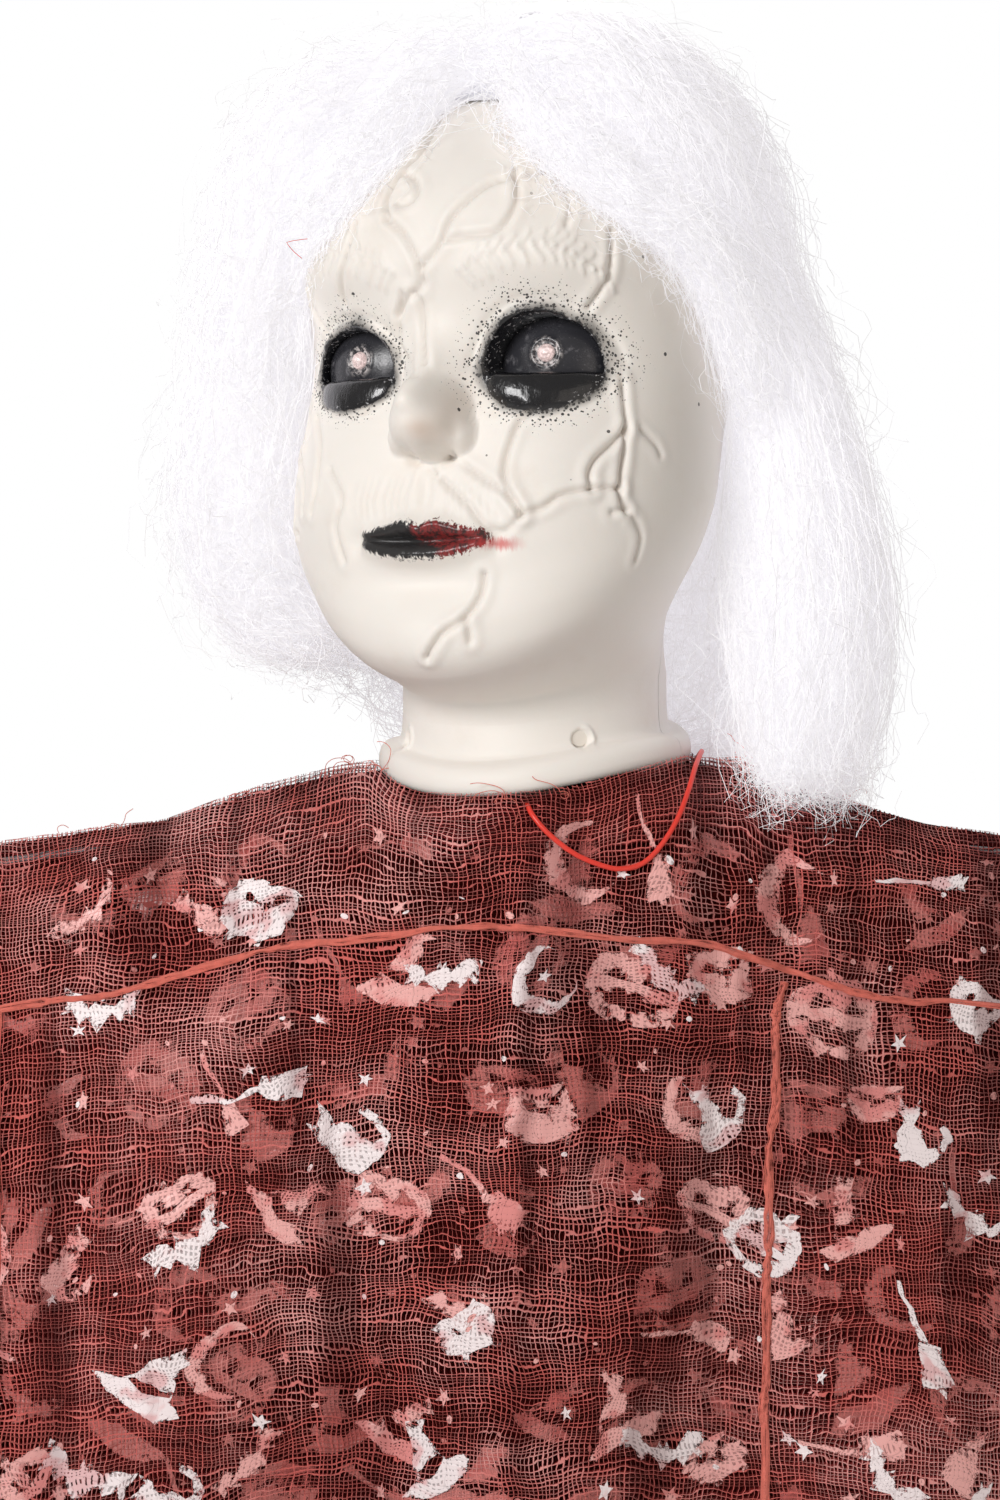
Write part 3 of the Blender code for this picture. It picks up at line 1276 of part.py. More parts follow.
def build_switch(torso, knob_frame, black, steel):
    body = bmesh.new()
    low = BOX_FLOOR + BOX_WALL + 2 * SEAT_GAP + KNOB_HALF_DEPTH
    high = low + SWITCH_HEIGHT - KNOB_HALF_DEPTH
    box(body, (-SWITCH_HALF_WIDTH, -SWITCH_HALF_DEPTH, low), (SWITCH_HALF_WIDTH, SWITCH_HALF_DEPTH, high))
    bevel_edges(body, body.edges[:], SWITCH_HALF_DEPTH / 10, 1)
    add_part("switch_body", body, steel, torso)
    knob = bmesh.new()
    top = low - SEAT_GAP
    start = -KNOB_TRAVEL / 2
    box(
        knob,
        (start - KNOB_HALF_WIDTH, -KNOB_HALF_DEPTH, top - KNOB_HEIGHT),
        (start + KNOB_HALF_WIDTH, KNOB_HALF_DEPTH, top),
    )
    bevel_edges(knob, knob.edges[:], KNOB_HALF_DEPTH / 5, 1)
    add_part("switch_knob", knob, black, knob_frame)


def main():
    ivory = make_material("ivory_plastic", (0.80, 0.76, 0.70), 0.42)
    charcoal = make_material("charcoal_paint", (0.035, 0.035, 0.04), 0.3)
    clear = make_material("clear_lamp", (0.85, 0.80, 0.80), 0.08)
    white = make_material("white_fibre", (0.90, 0.89, 0.90), 0.6)
    cap_cloth = make_material("cap_cloth", (0.80, 0.82, 0.86), 0.8)
    steel = make_material("steel", (0.55, 0.55, 0.56), 0.3, 1.0)
    brass = make_material("contact_metal", (0.62, 0.56, 0.40), 0.3, 1.0)
    grey = make_material("grey_plastic", (0.22, 0.22, 0.23), 0.5)
    black = make_material("black_plastic", (0.02, 0.02, 0.022), 0.45)
    cell_skin = make_material("cell_skin", (0.10, 0.22, 0.16), 0.3)
    lining = make_material("black_lining", (0.025, 0.012, 0.014), 0.85)
    red = make_material("red_gauze", (0.32, 0.05, 0.05), 0.8)
    lead_red = make_material("red_lead", (0.75, 0.05, 0.03), 0.4)
    hanger = make_frame("hanger_frame", (0, 0, 0))
    head = make_frame("head_frame", (0, 0, DATUM), HEAD_TURN)
    torso = make_frame("torso_frame", (0, 0, DATUM))
    cover_frame = make_frame("cover_frame", (0, 0, DATUM))
    knob_frame = make_frame("knob_frame", (0, 0, DATUM))
    build_shells(head, ivory)
    build_eyes(head, charcoal, clear, lead_red)
    build_hanger(hanger, head, steel)
    build_wig(head, white, cap_cloth)
    build_neck_plug(head, ivory, steel)
    build_shoulders(torso, grey)
    build_gown(torso, lining, red)
    build_battery_box(torso, cover_frame, knob_frame, black, steel, cell_skin, brass)
    add_wire("red_lead", smooth_route(RED_LEAD_ROUTE, LEAD_STEP), LEAD_RADIUS, lead_red, torso)
    bpy.context.view_layer.update()


clear_scene()
PARTS, CUTTERS = make_collections()
main()
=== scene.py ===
import json
import math
import random

import bmesh
import bpy
import numpy as np
from mathutils import Matrix, Vector


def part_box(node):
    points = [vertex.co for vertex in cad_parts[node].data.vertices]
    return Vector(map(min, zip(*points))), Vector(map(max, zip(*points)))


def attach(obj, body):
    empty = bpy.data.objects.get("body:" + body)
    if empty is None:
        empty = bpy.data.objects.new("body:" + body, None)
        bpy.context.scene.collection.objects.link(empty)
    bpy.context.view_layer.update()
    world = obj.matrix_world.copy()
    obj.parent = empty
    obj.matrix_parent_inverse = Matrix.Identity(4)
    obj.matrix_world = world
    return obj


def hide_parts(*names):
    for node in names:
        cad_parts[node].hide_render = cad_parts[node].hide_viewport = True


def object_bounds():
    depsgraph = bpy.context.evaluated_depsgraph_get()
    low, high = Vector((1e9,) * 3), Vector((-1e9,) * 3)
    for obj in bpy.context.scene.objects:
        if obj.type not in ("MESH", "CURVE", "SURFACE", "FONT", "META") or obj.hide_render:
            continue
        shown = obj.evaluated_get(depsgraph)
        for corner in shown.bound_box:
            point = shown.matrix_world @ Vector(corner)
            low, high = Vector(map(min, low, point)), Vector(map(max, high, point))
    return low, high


bl_info = {
    "name": "Hanging Ghost Decoration",
    "version": (1, 0, 0),
    "blender": (4, 5, 0),
    "location": "View3D > Sidebar > Ghost",
    "description": "Builds the looks of a hanging ghost doll over its CAD frame",
    "category": "Object",
}

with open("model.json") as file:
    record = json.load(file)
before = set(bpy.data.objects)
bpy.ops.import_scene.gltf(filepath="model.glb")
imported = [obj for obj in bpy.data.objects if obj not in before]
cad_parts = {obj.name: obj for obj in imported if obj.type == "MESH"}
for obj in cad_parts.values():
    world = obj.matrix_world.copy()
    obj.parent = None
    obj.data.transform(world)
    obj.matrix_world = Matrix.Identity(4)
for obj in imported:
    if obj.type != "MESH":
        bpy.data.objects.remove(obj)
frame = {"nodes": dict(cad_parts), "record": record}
CAD_BOX = [[float(c) for c in corner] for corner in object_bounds()]

# Lengths of the head and gown are in millimetres, those of the frame in metres
MM = 0.001
HEAD_RISE = 185.6
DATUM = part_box("face_shell")[1][2] - HEAD_RISE * MM
TURN = math.radians(-26)
PARTING = 2.5
EYE_OUT = 27.6
EYE_LINE = 99.0
MOUTH = 54.6
NECK_OUT = 44.0
CAMERA_AIM = -9.6
CAMERA_BACK = 1200.0
PIXEL = 0.275
PICTURE_MIDDLE = (500, 750)
WELD = 0.000002
PAST_BOX = 0.012
BACK_CLOTH = 1.3


# Settings


def colour_setting(name, description, default):
    return bpy.props.FloatVectorProperty(name=name, description=description, subtype="COLOR", default=default)


def length_setting(name, description, default):
    return bpy.props.FloatProperty(name=name, description=description, default=default, unit="LENGTH")


class GhostHeadSettings(bpy.types.PropertyGroup):
    plastic: colour_setting("Plastic", "Colour of the moulded head", (0.85, 0.81, 0.76))
    paint: colour_setting("Eye paint", "Colour sprayed round the eyes", (0.007, 0.007, 0.009))
    lip_red: colour_setting("Lip red", "Colour of the right half of the lips", (0.24, 0.010, 0.012))
    crack_depth: length_setting("Crack depth", "Depth of the moulded crack lines", 0.0006)


class GhostHairSettings(bpy.types.PropertyGroup):
    colour: colour_setting("Hair", "Colour of the wig fibre", (0.785, 0.79, 0.81))
    strand_width: length_setting("Strand width", "Width of one strand", 0.00019)
    long_strands: bpy.props.IntProperty(name="Long strands", description="Long strands in each lock", default=1500)
    short_strands: bpy.props.IntProperty(name="Short strands", description="Short fibres in each lock", default=6000)


class GhostGownSettings(bpy.types.PropertyGroup):
    thread_pitch: length_setting("Thread pitch", "Distance between gauze threads", 0.0012)
    gauze: colour_setting("Gauze", "Colour of the gauze threads", (0.62, 0.135, 0.118))
    seam: colour_setting("Seam", "Colour of the seam casing", (0.80, 0.20, 0.15))
    lining: colour_setting("Lining", "Colour of the lining", (0.026, 0.0012, 0.0010))
    # The print colour goes only to the white prints: the silvery foil with its glare painted in as a painted
    # highlight.
    foil: colour_setting("Print", "Colour of the printed figures", (0.99, 0.88, 0.89))


# Helpers


def link(obj):
    bpy.context.scene.collection.objects.link(obj)
    return obj


def mesh_object(name, bm, material, smooth=True):
    mesh = bpy.data.meshes.new(name)
    bm.to_mesh(mesh)
    bm.free()
    obj = link(bpy.data.objects.new(name, mesh))
    mesh.materials.append(material)
    if smooth:
        mesh.shade_smooth()
    return obj


def to_world(points):
    """Head millimetres to the frame's metres: turned about the neck and moved up to the datum."""
    c, s = math.cos(TURN), math.sin(TURN)
    x = points[..., 0] * c - points[..., 1] * s
    y = points[..., 0] * s + points[..., 1] * c
    return np.stack([x * MM, y * MM, points[..., 2] * MM + DATUM], axis=-1)


def photo_place(world):
    """Where points of the frame fall in the 1000 by 1500 picture."""
    shrink = CAMERA_BACK / (CAMERA_BACK + world[..., 1] / MM)
    px = PICTURE_MIDDLE[0] + (world[..., 0] / MM - CAMERA_AIM) * shrink / PIXEL
    py = PICTURE_MIDDLE[1] - (world[..., 2] - DATUM) / MM * shrink / PIXEL
    return np.stack([px, py], axis=-1)


def ease(t):
    t = np.clip(t, 0.0, 1.0)
    return t * t * (3 - 2 * t)


def bell(d, spread):
    return np.exp(-((d / spread) ** 2))


def catmull(table, place):
    """Values of a table at fractional rows, on a smooth curve through its rows."""
    table = np.asarray(table, float)
    place = np.clip(np.asarray(place, float), 0, len(table) - 1)
    i = np.minimum(place.astype(int), len(table) - 2)
    t = (place - i)[..., None]
    before, a = table[np.maximum(i - 1, 0)], table[i]
    b, after = table[i + 1], table[np.minimum(i + 2, len(table) - 1)]
    return a + 0.5 * t * (b - before + t * (2 * before - 5 * a + 4 * b - after + t * (3 * (a - b) + after - before)))


def wave_noise(x, y, z=0.0, seed=0, octaves=3):
    """Smooth, repeatable noise from a few turned sine waves, about -1 to 1."""
    rng = random.Random(seed)
    total = 0.0
    weight = 0.0
    for octave in range(octaves):
        for _ in range(3):
            direction = Vector((rng.uniform(-1, 1), rng.uniform(-1, 1), rng.uniform(-1, 1))).normalized()
            phase = rng.uniform(0, 6.283)
            scale = 2**octave
            share = 1 / scale
            total = total + share * np.sin(scale * (x * direction.x + y * direction.y + z * direction.z) + phase)
            weight += share
    return total / weight * 1.4


def set_attribute(mesh, name, values):
    attribute = mesh.attributes.new(name, "FLOAT", "POINT")
    attribute.data.foreach_set("value", np.asarray(values, np.float32))


# Materials


class Tree:
    """Short calls for building a node tree."""

    def __init__(self, tree):
        self.tree = tree

    def node(self, kind, inputs=None, **settings):
        made = self.tree.nodes.new(kind)
        for key, value in settings.items():
            setattr(made, key, value)
        for key, value in (inputs or {}).items():
            self.feed(made.inputs[key], value)
        return made

    def feed(self, socket, value):
        if isinstance(value, bpy.types.NodeSocket):
            self.tree.links.new(value, socket)
        elif value is not None:
            socket.default_value = value

    def math(self, operation, a, b=None, c=None, clamp=False):
        made = self.node("ShaderNodeMath", operation=operation, use_clamp=clamp)
        for socket, value in zip(made.inputs, (a, b, c)):
            self.feed(socket, value)
        return made.outputs[0]

    def times(self, a, b, clamp=False):
        return self.math("MULTIPLY", a, b, clamp=clamp)

    def plus(self, a, b):
        return self.math("ADD", a, b)

    def minus(self, a, b):
        return self.math("SUBTRACT", a, b)

    def scaled(self, value, scale, offset):
        return self.math("MULTIPLY_ADD", value, scale, offset)

    def most(self, a, b, clamp=False):
        return self.math("MAXIMUM", a, b, clamp=clamp)

    def ramp(self, value, low, high, out_low=0.0, out_high=1.0, smooth=True):
        made = self.node(
            "ShaderNodeMapRange",
            {"Value": value, "From Min": low, "From Max": high, "To Min": out_low, "To Max": out_high},
            interpolation_type="SMOOTHSTEP" if smooth else "LINEAR",
        )
        return made.outputs[0]

    def mix(self, share, a, b):
        made = self.node("ShaderNodeMix", data_type="RGBA")
        self.feed(made.inputs[0], share)
        self.feed(made.inputs[6], a if isinstance(a, bpy.types.NodeSocket) else (*a, 1))
        self.feed(made.inputs[7], b if isinstance(b, bpy.types.NodeSocket) else (*b, 1))
        return made.outputs[2]

    def mix_value(self, share, a, b):
        return self.node("ShaderNodeMix", {0: share, 2: a, 3: b}, data_type="FLOAT").outputs[0]

    def noise(self, vector, scale, detail=3.0, roughness=0.55):
        inputs = {"Vector": vector, "Scale": scale, "Detail": detail, "Roughness": roughness}
        return self.node("ShaderNodeTexNoise", inputs).outputs[0]

    def bump(self, shader, height, strength, distance):
        made = self.node("ShaderNodeBump", {"Height": height, "Strength": strength, "Distance": distance})
        self.feed(shader["Normal"], made.outputs[0])

    def vector(self, operation, *inputs, scale=None):
        made = self.node("ShaderNodeVectorMath", operation=operation)
        for socket, value in zip(made.inputs, inputs):
            self.feed(socket, value)
        if scale is not None:
            self.feed(made.inputs["Scale"], scale)
        return made.outputs[0]

    def object_coords(self):
        return self.node("ShaderNodeTexCoord").outputs["Object"]

    def attribute(self, name):
        return self.node("ShaderNodeAttribute", attribute_name=name).outputs["Fac"]

    def stretch(self, vector, scale):
        return self.node("ShaderNodeMapping", {"Vector": vector, "Scale": scale}).outputs[0]


def new_group(name, inputs, outputs):
    group = bpy.data.node_groups.new(name, "ShaderNodeTree")
    for label, kind, default in inputs:
        socket = group.interface.new_socket(label, in_out="INPUT", socket_type=kind)
        if default is not None:
            socket.default_value = default
    for label, kind in outputs:
        group.interface.new_socket(label, in_out="OUTPUT", socket_type=kind)
    tree = Tree(group)
    return group, tree, tree.node("NodeGroupInput").outputs, tree.node("NodeGroupOutput").inputs


def surface_grain_group():
    """Fine mottling of a colour, with a height for its bump and a share for its roughness."""
    if "surface_grain" in bpy.data.node_groups:
        return bpy.data.node_groups["surface_grain"]
    group, tree, given, out = new_group(
        "surface_grain",
        [
            ("Colour", "NodeSocketColor", (0.5, 0.5, 0.5, 1)),
            ("Vector", "NodeSocketVector", None),
            ("Scale", "NodeSocketFloat", 60.0),
            ("Variation", "NodeSocketFloat", 0.1),
        ],
        [("Colour", "NodeSocketColor"), ("Height", "NodeSocketFloat"), ("Share", "NodeSocketFloat")],
    )
    broad = tree.noise(given["Vector"], given["Scale"], 4.0)
    fine = tree.noise(given["Vector"], tree.times(given["Scale"], 14.0), 2.0)
    share = tree.plus(tree.times(broad, 0.7), tree.times(fine, 0.3))
    level = tree.scaled(tree.minus(share, 0.5), given["Variation"], 1.0)
    tree.feed(out["Colour"], tree.vector("SCALE", given["Colour"], scale=level))
    tree.feed(out["Height"], fine)
    tree.feed(out["Share"], share)
    return group


def open_weave_group():
    """Threads of an open gauze from a UV map in metres: where a thread is, how far it stands up, its own shade."""
    if "open_weave" in bpy.data.node_groups:
        return bpy.data.node_groups["open_weave"]
    group, tree, given, out = new_group(
        "open_weave",
        [
            ("UV", "NodeSocketVector", None),
            ("Pitch", "NodeSocketFloat", 0.0013),
            ("Thread", "NodeSocketFloat", 0.3),
            ("Wander", "NodeSocketFloat", 0.5),
        ],
        [("Mask", "NodeSocketFloat"), ("Height", "NodeSocketFloat"), ("Shade", "NodeSocketFloat")],
    )
    cloth = given["UV"]
    slow = tree.node("ShaderNodeTexNoise", {"Vector": cloth, "Scale": 26.0, "Detail": 2.0})
    quick = tree.node("ShaderNodeTexNoise", {"Vector": cloth, "Scale": 170.0, "Detail": 3.0, "Roughness": 0.6})
    dense = tree.noise(tree.stretch(cloth, (0.6, 1.7, 1)), 40.0, 3.0, 0.5)
    bunch = tree.noise(tree.stretch(cloth, (0.3, 1.6, 1)), 120.0, 2.0, 0.5)
    middle = (0.5, 0.5, 0.5)
    drift = tree.vector("SUBTRACT", slow.outputs[1], middle)
    jitter = tree.vector("SUBTRACT", quick.outputs[1], middle)
    units = tree.vector("SCALE", cloth, scale=tree.math("DIVIDE", 1.0, given["Pitch"]))
    moved = tree.vector("MULTIPLY_ADD", drift, (10.0, 13.0, 0.0), units)
    wander = tree.vector("SCALE", jitter, scale=tree.times(given["Wander"], 3.4))
    gather = tree.node("ShaderNodeCombineXYZ", {"Y": tree.scaled(bunch, 3.6, -1.8)}).outputs[0]
    placed = tree.vector("ADD", tree.vector("ADD", moved, wander), gather)
    split = tree.node("ShaderNodeSeparateXYZ", {"Vector": placed})
    masks = []
    shades = []
    for axis in (0, 1):
        along = split.outputs[axis]
        index = tree.math("FLOOR", along)
        own = tree.node("ShaderNodeTexWhiteNoise", noise_dimensions="1D")
        tree.feed(own.inputs["W"], tree.plus(index, 37.0 * axis))
        offset = tree.math("ABSOLUTE", tree.minus(tree.math("FRACT", along), 0.5))
        width = tree.times(given["Thread"], tree.scaled(own.outputs[0], 0.5, 0.75))
        width = tree.times(width, tree.ramp(dense, 0.35, 0.68, 0.8, 1.6))
        half = tree.times(width, 0.5)
        masks.append(tree.minus(1.0, tree.ramp(tree.math("DIVIDE", offset, half), 0.75, 1.15)))
        shades.append(own.outputs[0])
    mask = tree.most(masks[0], masks[1])
    tree.feed(out["Mask"], mask)
    tree.feed(out["Height"], tree.plus(masks[0], masks[1]))
    tree.feed(out["Shade"], tree.mix_value(masks[1], shades[0], shades[1]))
    return group


def make_material(name):
    material = bpy.data.materials.new(name)
    material.use_nodes = True
    tree = Tree(material.node_tree)
    return material, tree, material.node_tree.nodes["Principled BSDF"].inputs


def add_group(tree, group, inputs):
    return tree.node("ShaderNodeGroup", inputs, node_tree=group).outputs


def surface_grain(tree, coords, colour, scale, variation):
    inputs = {"Colour": (*colour, 1), "Vector": coords, "Scale": scale, "Variation": variation}
    return add_group(tree, surface_grain_group(), inputs)


def open_weave(tree, uv, pitch, thread, wander):
    return add_group(tree, open_weave_group(), {"UV": uv, "Pitch": pitch, "Thread": thread, "Wander": wander})


def grained(name, colour, roughness, metallic, scale, variation, bump, depth):
    """A moulded, turned or coated surface with mottling, uneven gloss and a fine grain."""
    material, tree, shader = make_material(name)
    grain = surface_grain(tree, tree.object_coords(), colour, scale, variation)
    tree.feed(shader["Base Color"], grain["Colour"])
    tree.feed(shader["Roughness"], tree.ramp(grain["Share"], 0.2, 0.8, roughness * 0.8, roughness * 1.2, False))
    shader["Metallic"].default_value = metallic
    tree.bump(shader, grain["Height"], bump, depth)
    return material


# Head form

HEAD_ROWS = [
    (0.065, 0.545, 0.108, 0.635, 0.000, 0.140, 0.625), (0.078, 0.660, 0.132, 0.665, 0.120, 0.172, 0.612),
    (0.088, 0.800, 0.156, 0.708, 0.255, 0.205, 0.590), (0.100, 0.905, 0.186, 0.762, 0.350, 0.237, 0.562),
    (0.126, 0.975, 0.216, 0.828, 0.370, 0.270, 0.532), (0.165, 0.995, 0.252, 0.896, 0.345, 0.305, 0.515),
    (0.205, 0.985, 0.288, 0.950, 0.315, 0.338, 0.530), (0.245, 0.972, 0.324, 0.982, 0.292, 0.370, 0.580),
    (0.290, 0.975, 0.360, 1.000, 0.262, 0.400, 0.640), (0.335, 0.970, 0.395, 1.000, 0.235, 0.430, 0.690),
    (0.385, 0.945, 0.435, 0.995, 0.208, 0.466, 0.745), (0.430, 0.925, 0.475, 0.988, 0.185, 0.502, 0.800),
    (0.480, 0.905, 0.515, 0.982, 0.165, 0.538, 0.860), (0.530, 0.890, 0.556, 0.980, 0.148, 0.572, 0.910),
    (0.580, 0.900, 0.598, 0.984, 0.135, 0.608, 0.955), (0.632, 0.940, 0.640, 0.990, 0.118, 0.645, 0.985),
    (0.690, 0.990, 0.690, 0.990, 0.100, 0.690, 1.000), (0.745, 0.985, 0.745, 0.965, 0.085, 0.745, 0.985),
    (0.800, 0.925, 0.800, 0.890, 0.070, 0.800, 0.925), (0.850, 0.820, 0.850, 0.785, 0.055, 0.850, 0.835),
    (0.895, 0.680, 0.895, 0.655, 0.040, 0.895, 0.700), (0.932, 0.530, 0.932, 0.515, 0.025, 0.932, 0.550),
    (0.962, 0.375, 0.962, 0.370, 0.012, 0.962, 0.395), (0.984, 0.225, 0.984, 0.225, 0.000, 0.984, 0.240),
    (0.996, 0.100, 0.996, 0.100, 0.000, 0.996, 0.105), (1.000, 0.000, 1.000, 0.000, 0.000, 1.000, 0.000),
]

# Foot of the neck, from inside up round the flange: radius, height, slope of its plane
NECK_PROFILE = [
    (34.2, 6.0, 0.2), (34.2, -3.6, 0.2), (35.0, -4.5, 0.2), (40.2, -4.5, 0.2), (41.7, -3.9, 0.2), (42.6, -2.7, 0.2),
    (42.9, -1.2, 0.2), (42.8, 0.8, 0.2), (42.3, 2.4, 0.2), (41.2, 3.6, 0.2), (39.4, 4.1, 0.2), (38.0, 4.4, 0.2),
    (37.2, 5.0, 0.2), (36.7, 6.2, 0.2), (36.4, 8.5, 0.17), (36.2, 12.0, 0.15),
]


def head_rows():
    """Front depth and height, side width, depth and height, back depth and height, and squareness of each row."""
    neck = catmull(np.array(NECK_PROFILE), np.concatenate([np.arange(11), np.arange(77, 106) / 7]))
    rows = [(r, z - s * r, r, 0.0, z, r, z + s * r, 1.0) for r, z, s in neck]
    count = len(HEAD_ROWS)
    places = [0.5 * k for k in range(6)] + [3 + k / 11 for k in range((count - 9) * 11)]
    places += [count - 6 + k / 6 for k in range(5 * 6 + 1)]
    for fz, fy, sz, sx, sy, bz, by in catmull(HEAD_ROWS, np.array(places)):
        square = 1 - 0.13 * ease((fz - 0.1) * 6) * ease((0.99 - fz) * 6)
        front, side, back = max(fy, 0) * 67.5, max(sx, 0) * 57, max(by, 0) * 57.5
        rows.append((front, fz * HEAD_RISE, side, sy * 67.5, sz * HEAD_RISE, back, bz * HEAD_RISE, square))
    return np.array(rows)


def head_angles():
    """Angles round the head from the middle of the back: fine over the face, coarse behind."""
    half = [0.0]
    while half[-1] < 180:
        step = 0.56 if half[-1] < 74 else min(3.0, 0.56 + (half[-1] - 74) * 0.12)
        half.append(half[-1] + step)
    half = np.array(half) * 180 / half[-1]
    return np.radians(np.concatenate([-half[::-1], half[1:]]))


def lid_distance(x, z):
    """Distance outside the eye opening, negative inside: a flat lower line under a round arch."""
    side = np.abs(x) - EYE_OUT
    high = np.where(x < 0, 12.6, 14.6)
    arch = (np.hypot(side / 13.8, (z - EYE_LINE) / high) - 1) * 14.2
    return np.maximum(arch, EYE_LINE - z)


def lip_distance(x, z):
    """Distance outside the painted lips, negative inside."""
    open_share = np.sqrt(np.clip(1 - (x / 20.0) ** 2, 0.0004, 1))
    middle = MOUTH + 0.004 * x * x * 0.5
    bow = 1.1 * bell(np.abs(x) - 5, 4) - 0.6 * bell(x, 2.2)
    level = np.where(z > middle, (z - middle) - (4.4 + bow) * open_share, (middle - z) - 5.0 * open_share)
    return np.maximum(level, (np.abs(x) - 19.0) * 1.5)


def socket_distance(x, z):
    """Distance outside the painted socket: the eye's arch above and the swollen lid below."""
    side = np.abs(x) - EYE_OUT
    high = np.where(z > EYE_LINE, 16.6, 11.2)
    wide = np.where(z > EYE_LINE, 15.4, 15.4 - 0.12 * np.clip(EYE_LINE - z, 0, 12))
    return (np.hypot(side / wide, (z - EYE_LINE) / high) - 1) * 14.0


def face_relief(x, z):
    """How far the face stands forward of the plain head, in millimetres."""
    side = np.abs(x)
    soft = 0.68 + 0.75 * ease((z - 85) / 9)
    ball = np.clip(1 - (x / 11.6) ** 2 - ((z - 87.4) / 12.0) ** 2, 0, 1) ** soft * 17.4
    wing = np.clip(1 - ((side - 8.6) / 4.3) ** 2 - ((z - 82.6) / 5.6) ** 2, 0, 1) ** 0.9 * 6.8
    relief = np.log(np.exp(ball / 1.5) + np.exp(wing / 1.5) - 1) * 1.5
    relief -= 5.5 * bell(side - 4.4, 2.3) * bell(z - 77.2, 1.9)
    relief -= 1.3 * bell(side - 9.3, 1.3) * bell(z - 84.5, 4.5)
    relief += 8.2 * bell(x, 7.0) * ease((z - 86) / 10) * (1 - ease((z - 95) / 22))
    relief += 2.6 * bell(x, 22) * bell(z - 56, 14)
    share = np.clip(1 - (x / 19.6) ** 2, 0, 1)
    upper = 54.9 + 3.1 * share**0.8 + 0.9 * bell(side - 5, 3.5) - 0.7 * bell(x, 2)
    relief += 3.5 * share**0.7 * bell(z - upper, 2.5)
    lower = 54.3 - 3.5 * share**0.8
    relief += 3.8 * share**0.7 * bell(z - lower, 2.8)
    relief -= 3.0 * share**0.5 * bell(z - MOUTH - 0.002 * x * x, 0.75)
    relief -= 1.2 * bell(side - 20.5, 2.6) * bell(z - MOUTH, 3.5)
    relief -= 1.8 * bell(x, 15) * bell(z - 43.5, 4.2)
    relief += 3.2 * bell(x, 13.5) * bell(z - 29, 10)
    relief += (0.6 * bell(side - 3.4, 1.5) - 0.9 * bell(x, 1.9)) * ease((z - 61) / 4) * (1 - ease((z - 72) / 5))
    strip = bell(side - 9, 11) * ease((z - 59) / 3) * (1 - ease((z - 68) / 6))
    relief += 0.22 * strip * np.sin(x * 2.6 + 1.4 * np.sin(z * 0.5) + 1.2 * np.sin(x * 0.7))
    relief += 3.2 * bell(side - 34, 17) * bell(z - 69, 17)
    relief -= 3.8 * bell(side - EYE_OUT, 16) * bell(z - 104, 13.5)
    relief += 1.8 * bell(side - 29, 19) * bell(z - 126, 6)
    rim = lid_distance(x, z)
    upper_side = ease((z - 97.5) / 4)
    relief += 1.3 * bell(rim - 1.5, 1.3) * upper_side - 0.9 * bell(rim - 4.2, 1.2) * upper_side
    bulge = np.clip(1 - ((side - 27.4) / 13.4) ** 2 - ((z - 96.2) / 8.2) ** 2, 0, 1) ** 0.7
    relief += 4.6 * bulge * (1 - upper_side)
    relief += 0.5 * bell(z - 86.6, 1.1) * bell(side - 27.4, 9)
    return relief - 11.0 * (1 - ease((rim + 0.5) / 0.9))


def head_surface():
    """The head's outer skin in head millimetres, as rows by angles, before its crack lines."""
    rows = head_rows()
    angle = head_angles()
    fy, fz, sx, sy, sz, by, bz, sq = (rows[:, k : k + 1] for k in range(8))
    s, c = np.sin(angle)[None, :], np.cos(angle)[None, :]
    power = np.where(c > 0, sq, 1.0)
    x = np.sign(s) * np.abs(s) ** power * sx
    reach = np.abs(c) ** power
    y = np.where(c > 0, -sy - (fy - sy) * reach, -sy + (by + sy) * reach)
    z = np.where(c > 0, sz + (fz - sz) * c * c, sz + (bz - sz) * c * c)
    y = y - face_relief(x, z) * ease(np.maximum(c, 0) * 2)
    depth = y - PARTING
    cup = 4.8 * bell(depth - 1, 6.5) * bell(z - 103, 12.5)
    fold = 1.6 * bell(depth + 4.5, 1.5) * bell(z - 105, 6.5) + 1.0 * bell(depth - 3, 1.4) * bell(z - 103, 8)
    x = x + np.sign(x) * (cup - fold) * np.abs(s) * (np.abs(x) > 30)
    return np.stack([x, y, z], axis=-1)


def surface_normals(points):
    along = np.gradient(points, axis=1)
    up = np.gradient(points, axis=0)
    normal = np.cross(along, up)
    length = np.linalg.norm(normal, axis=-1, keepdims=True)
    return normal / np.maximum(length, 1e-9)


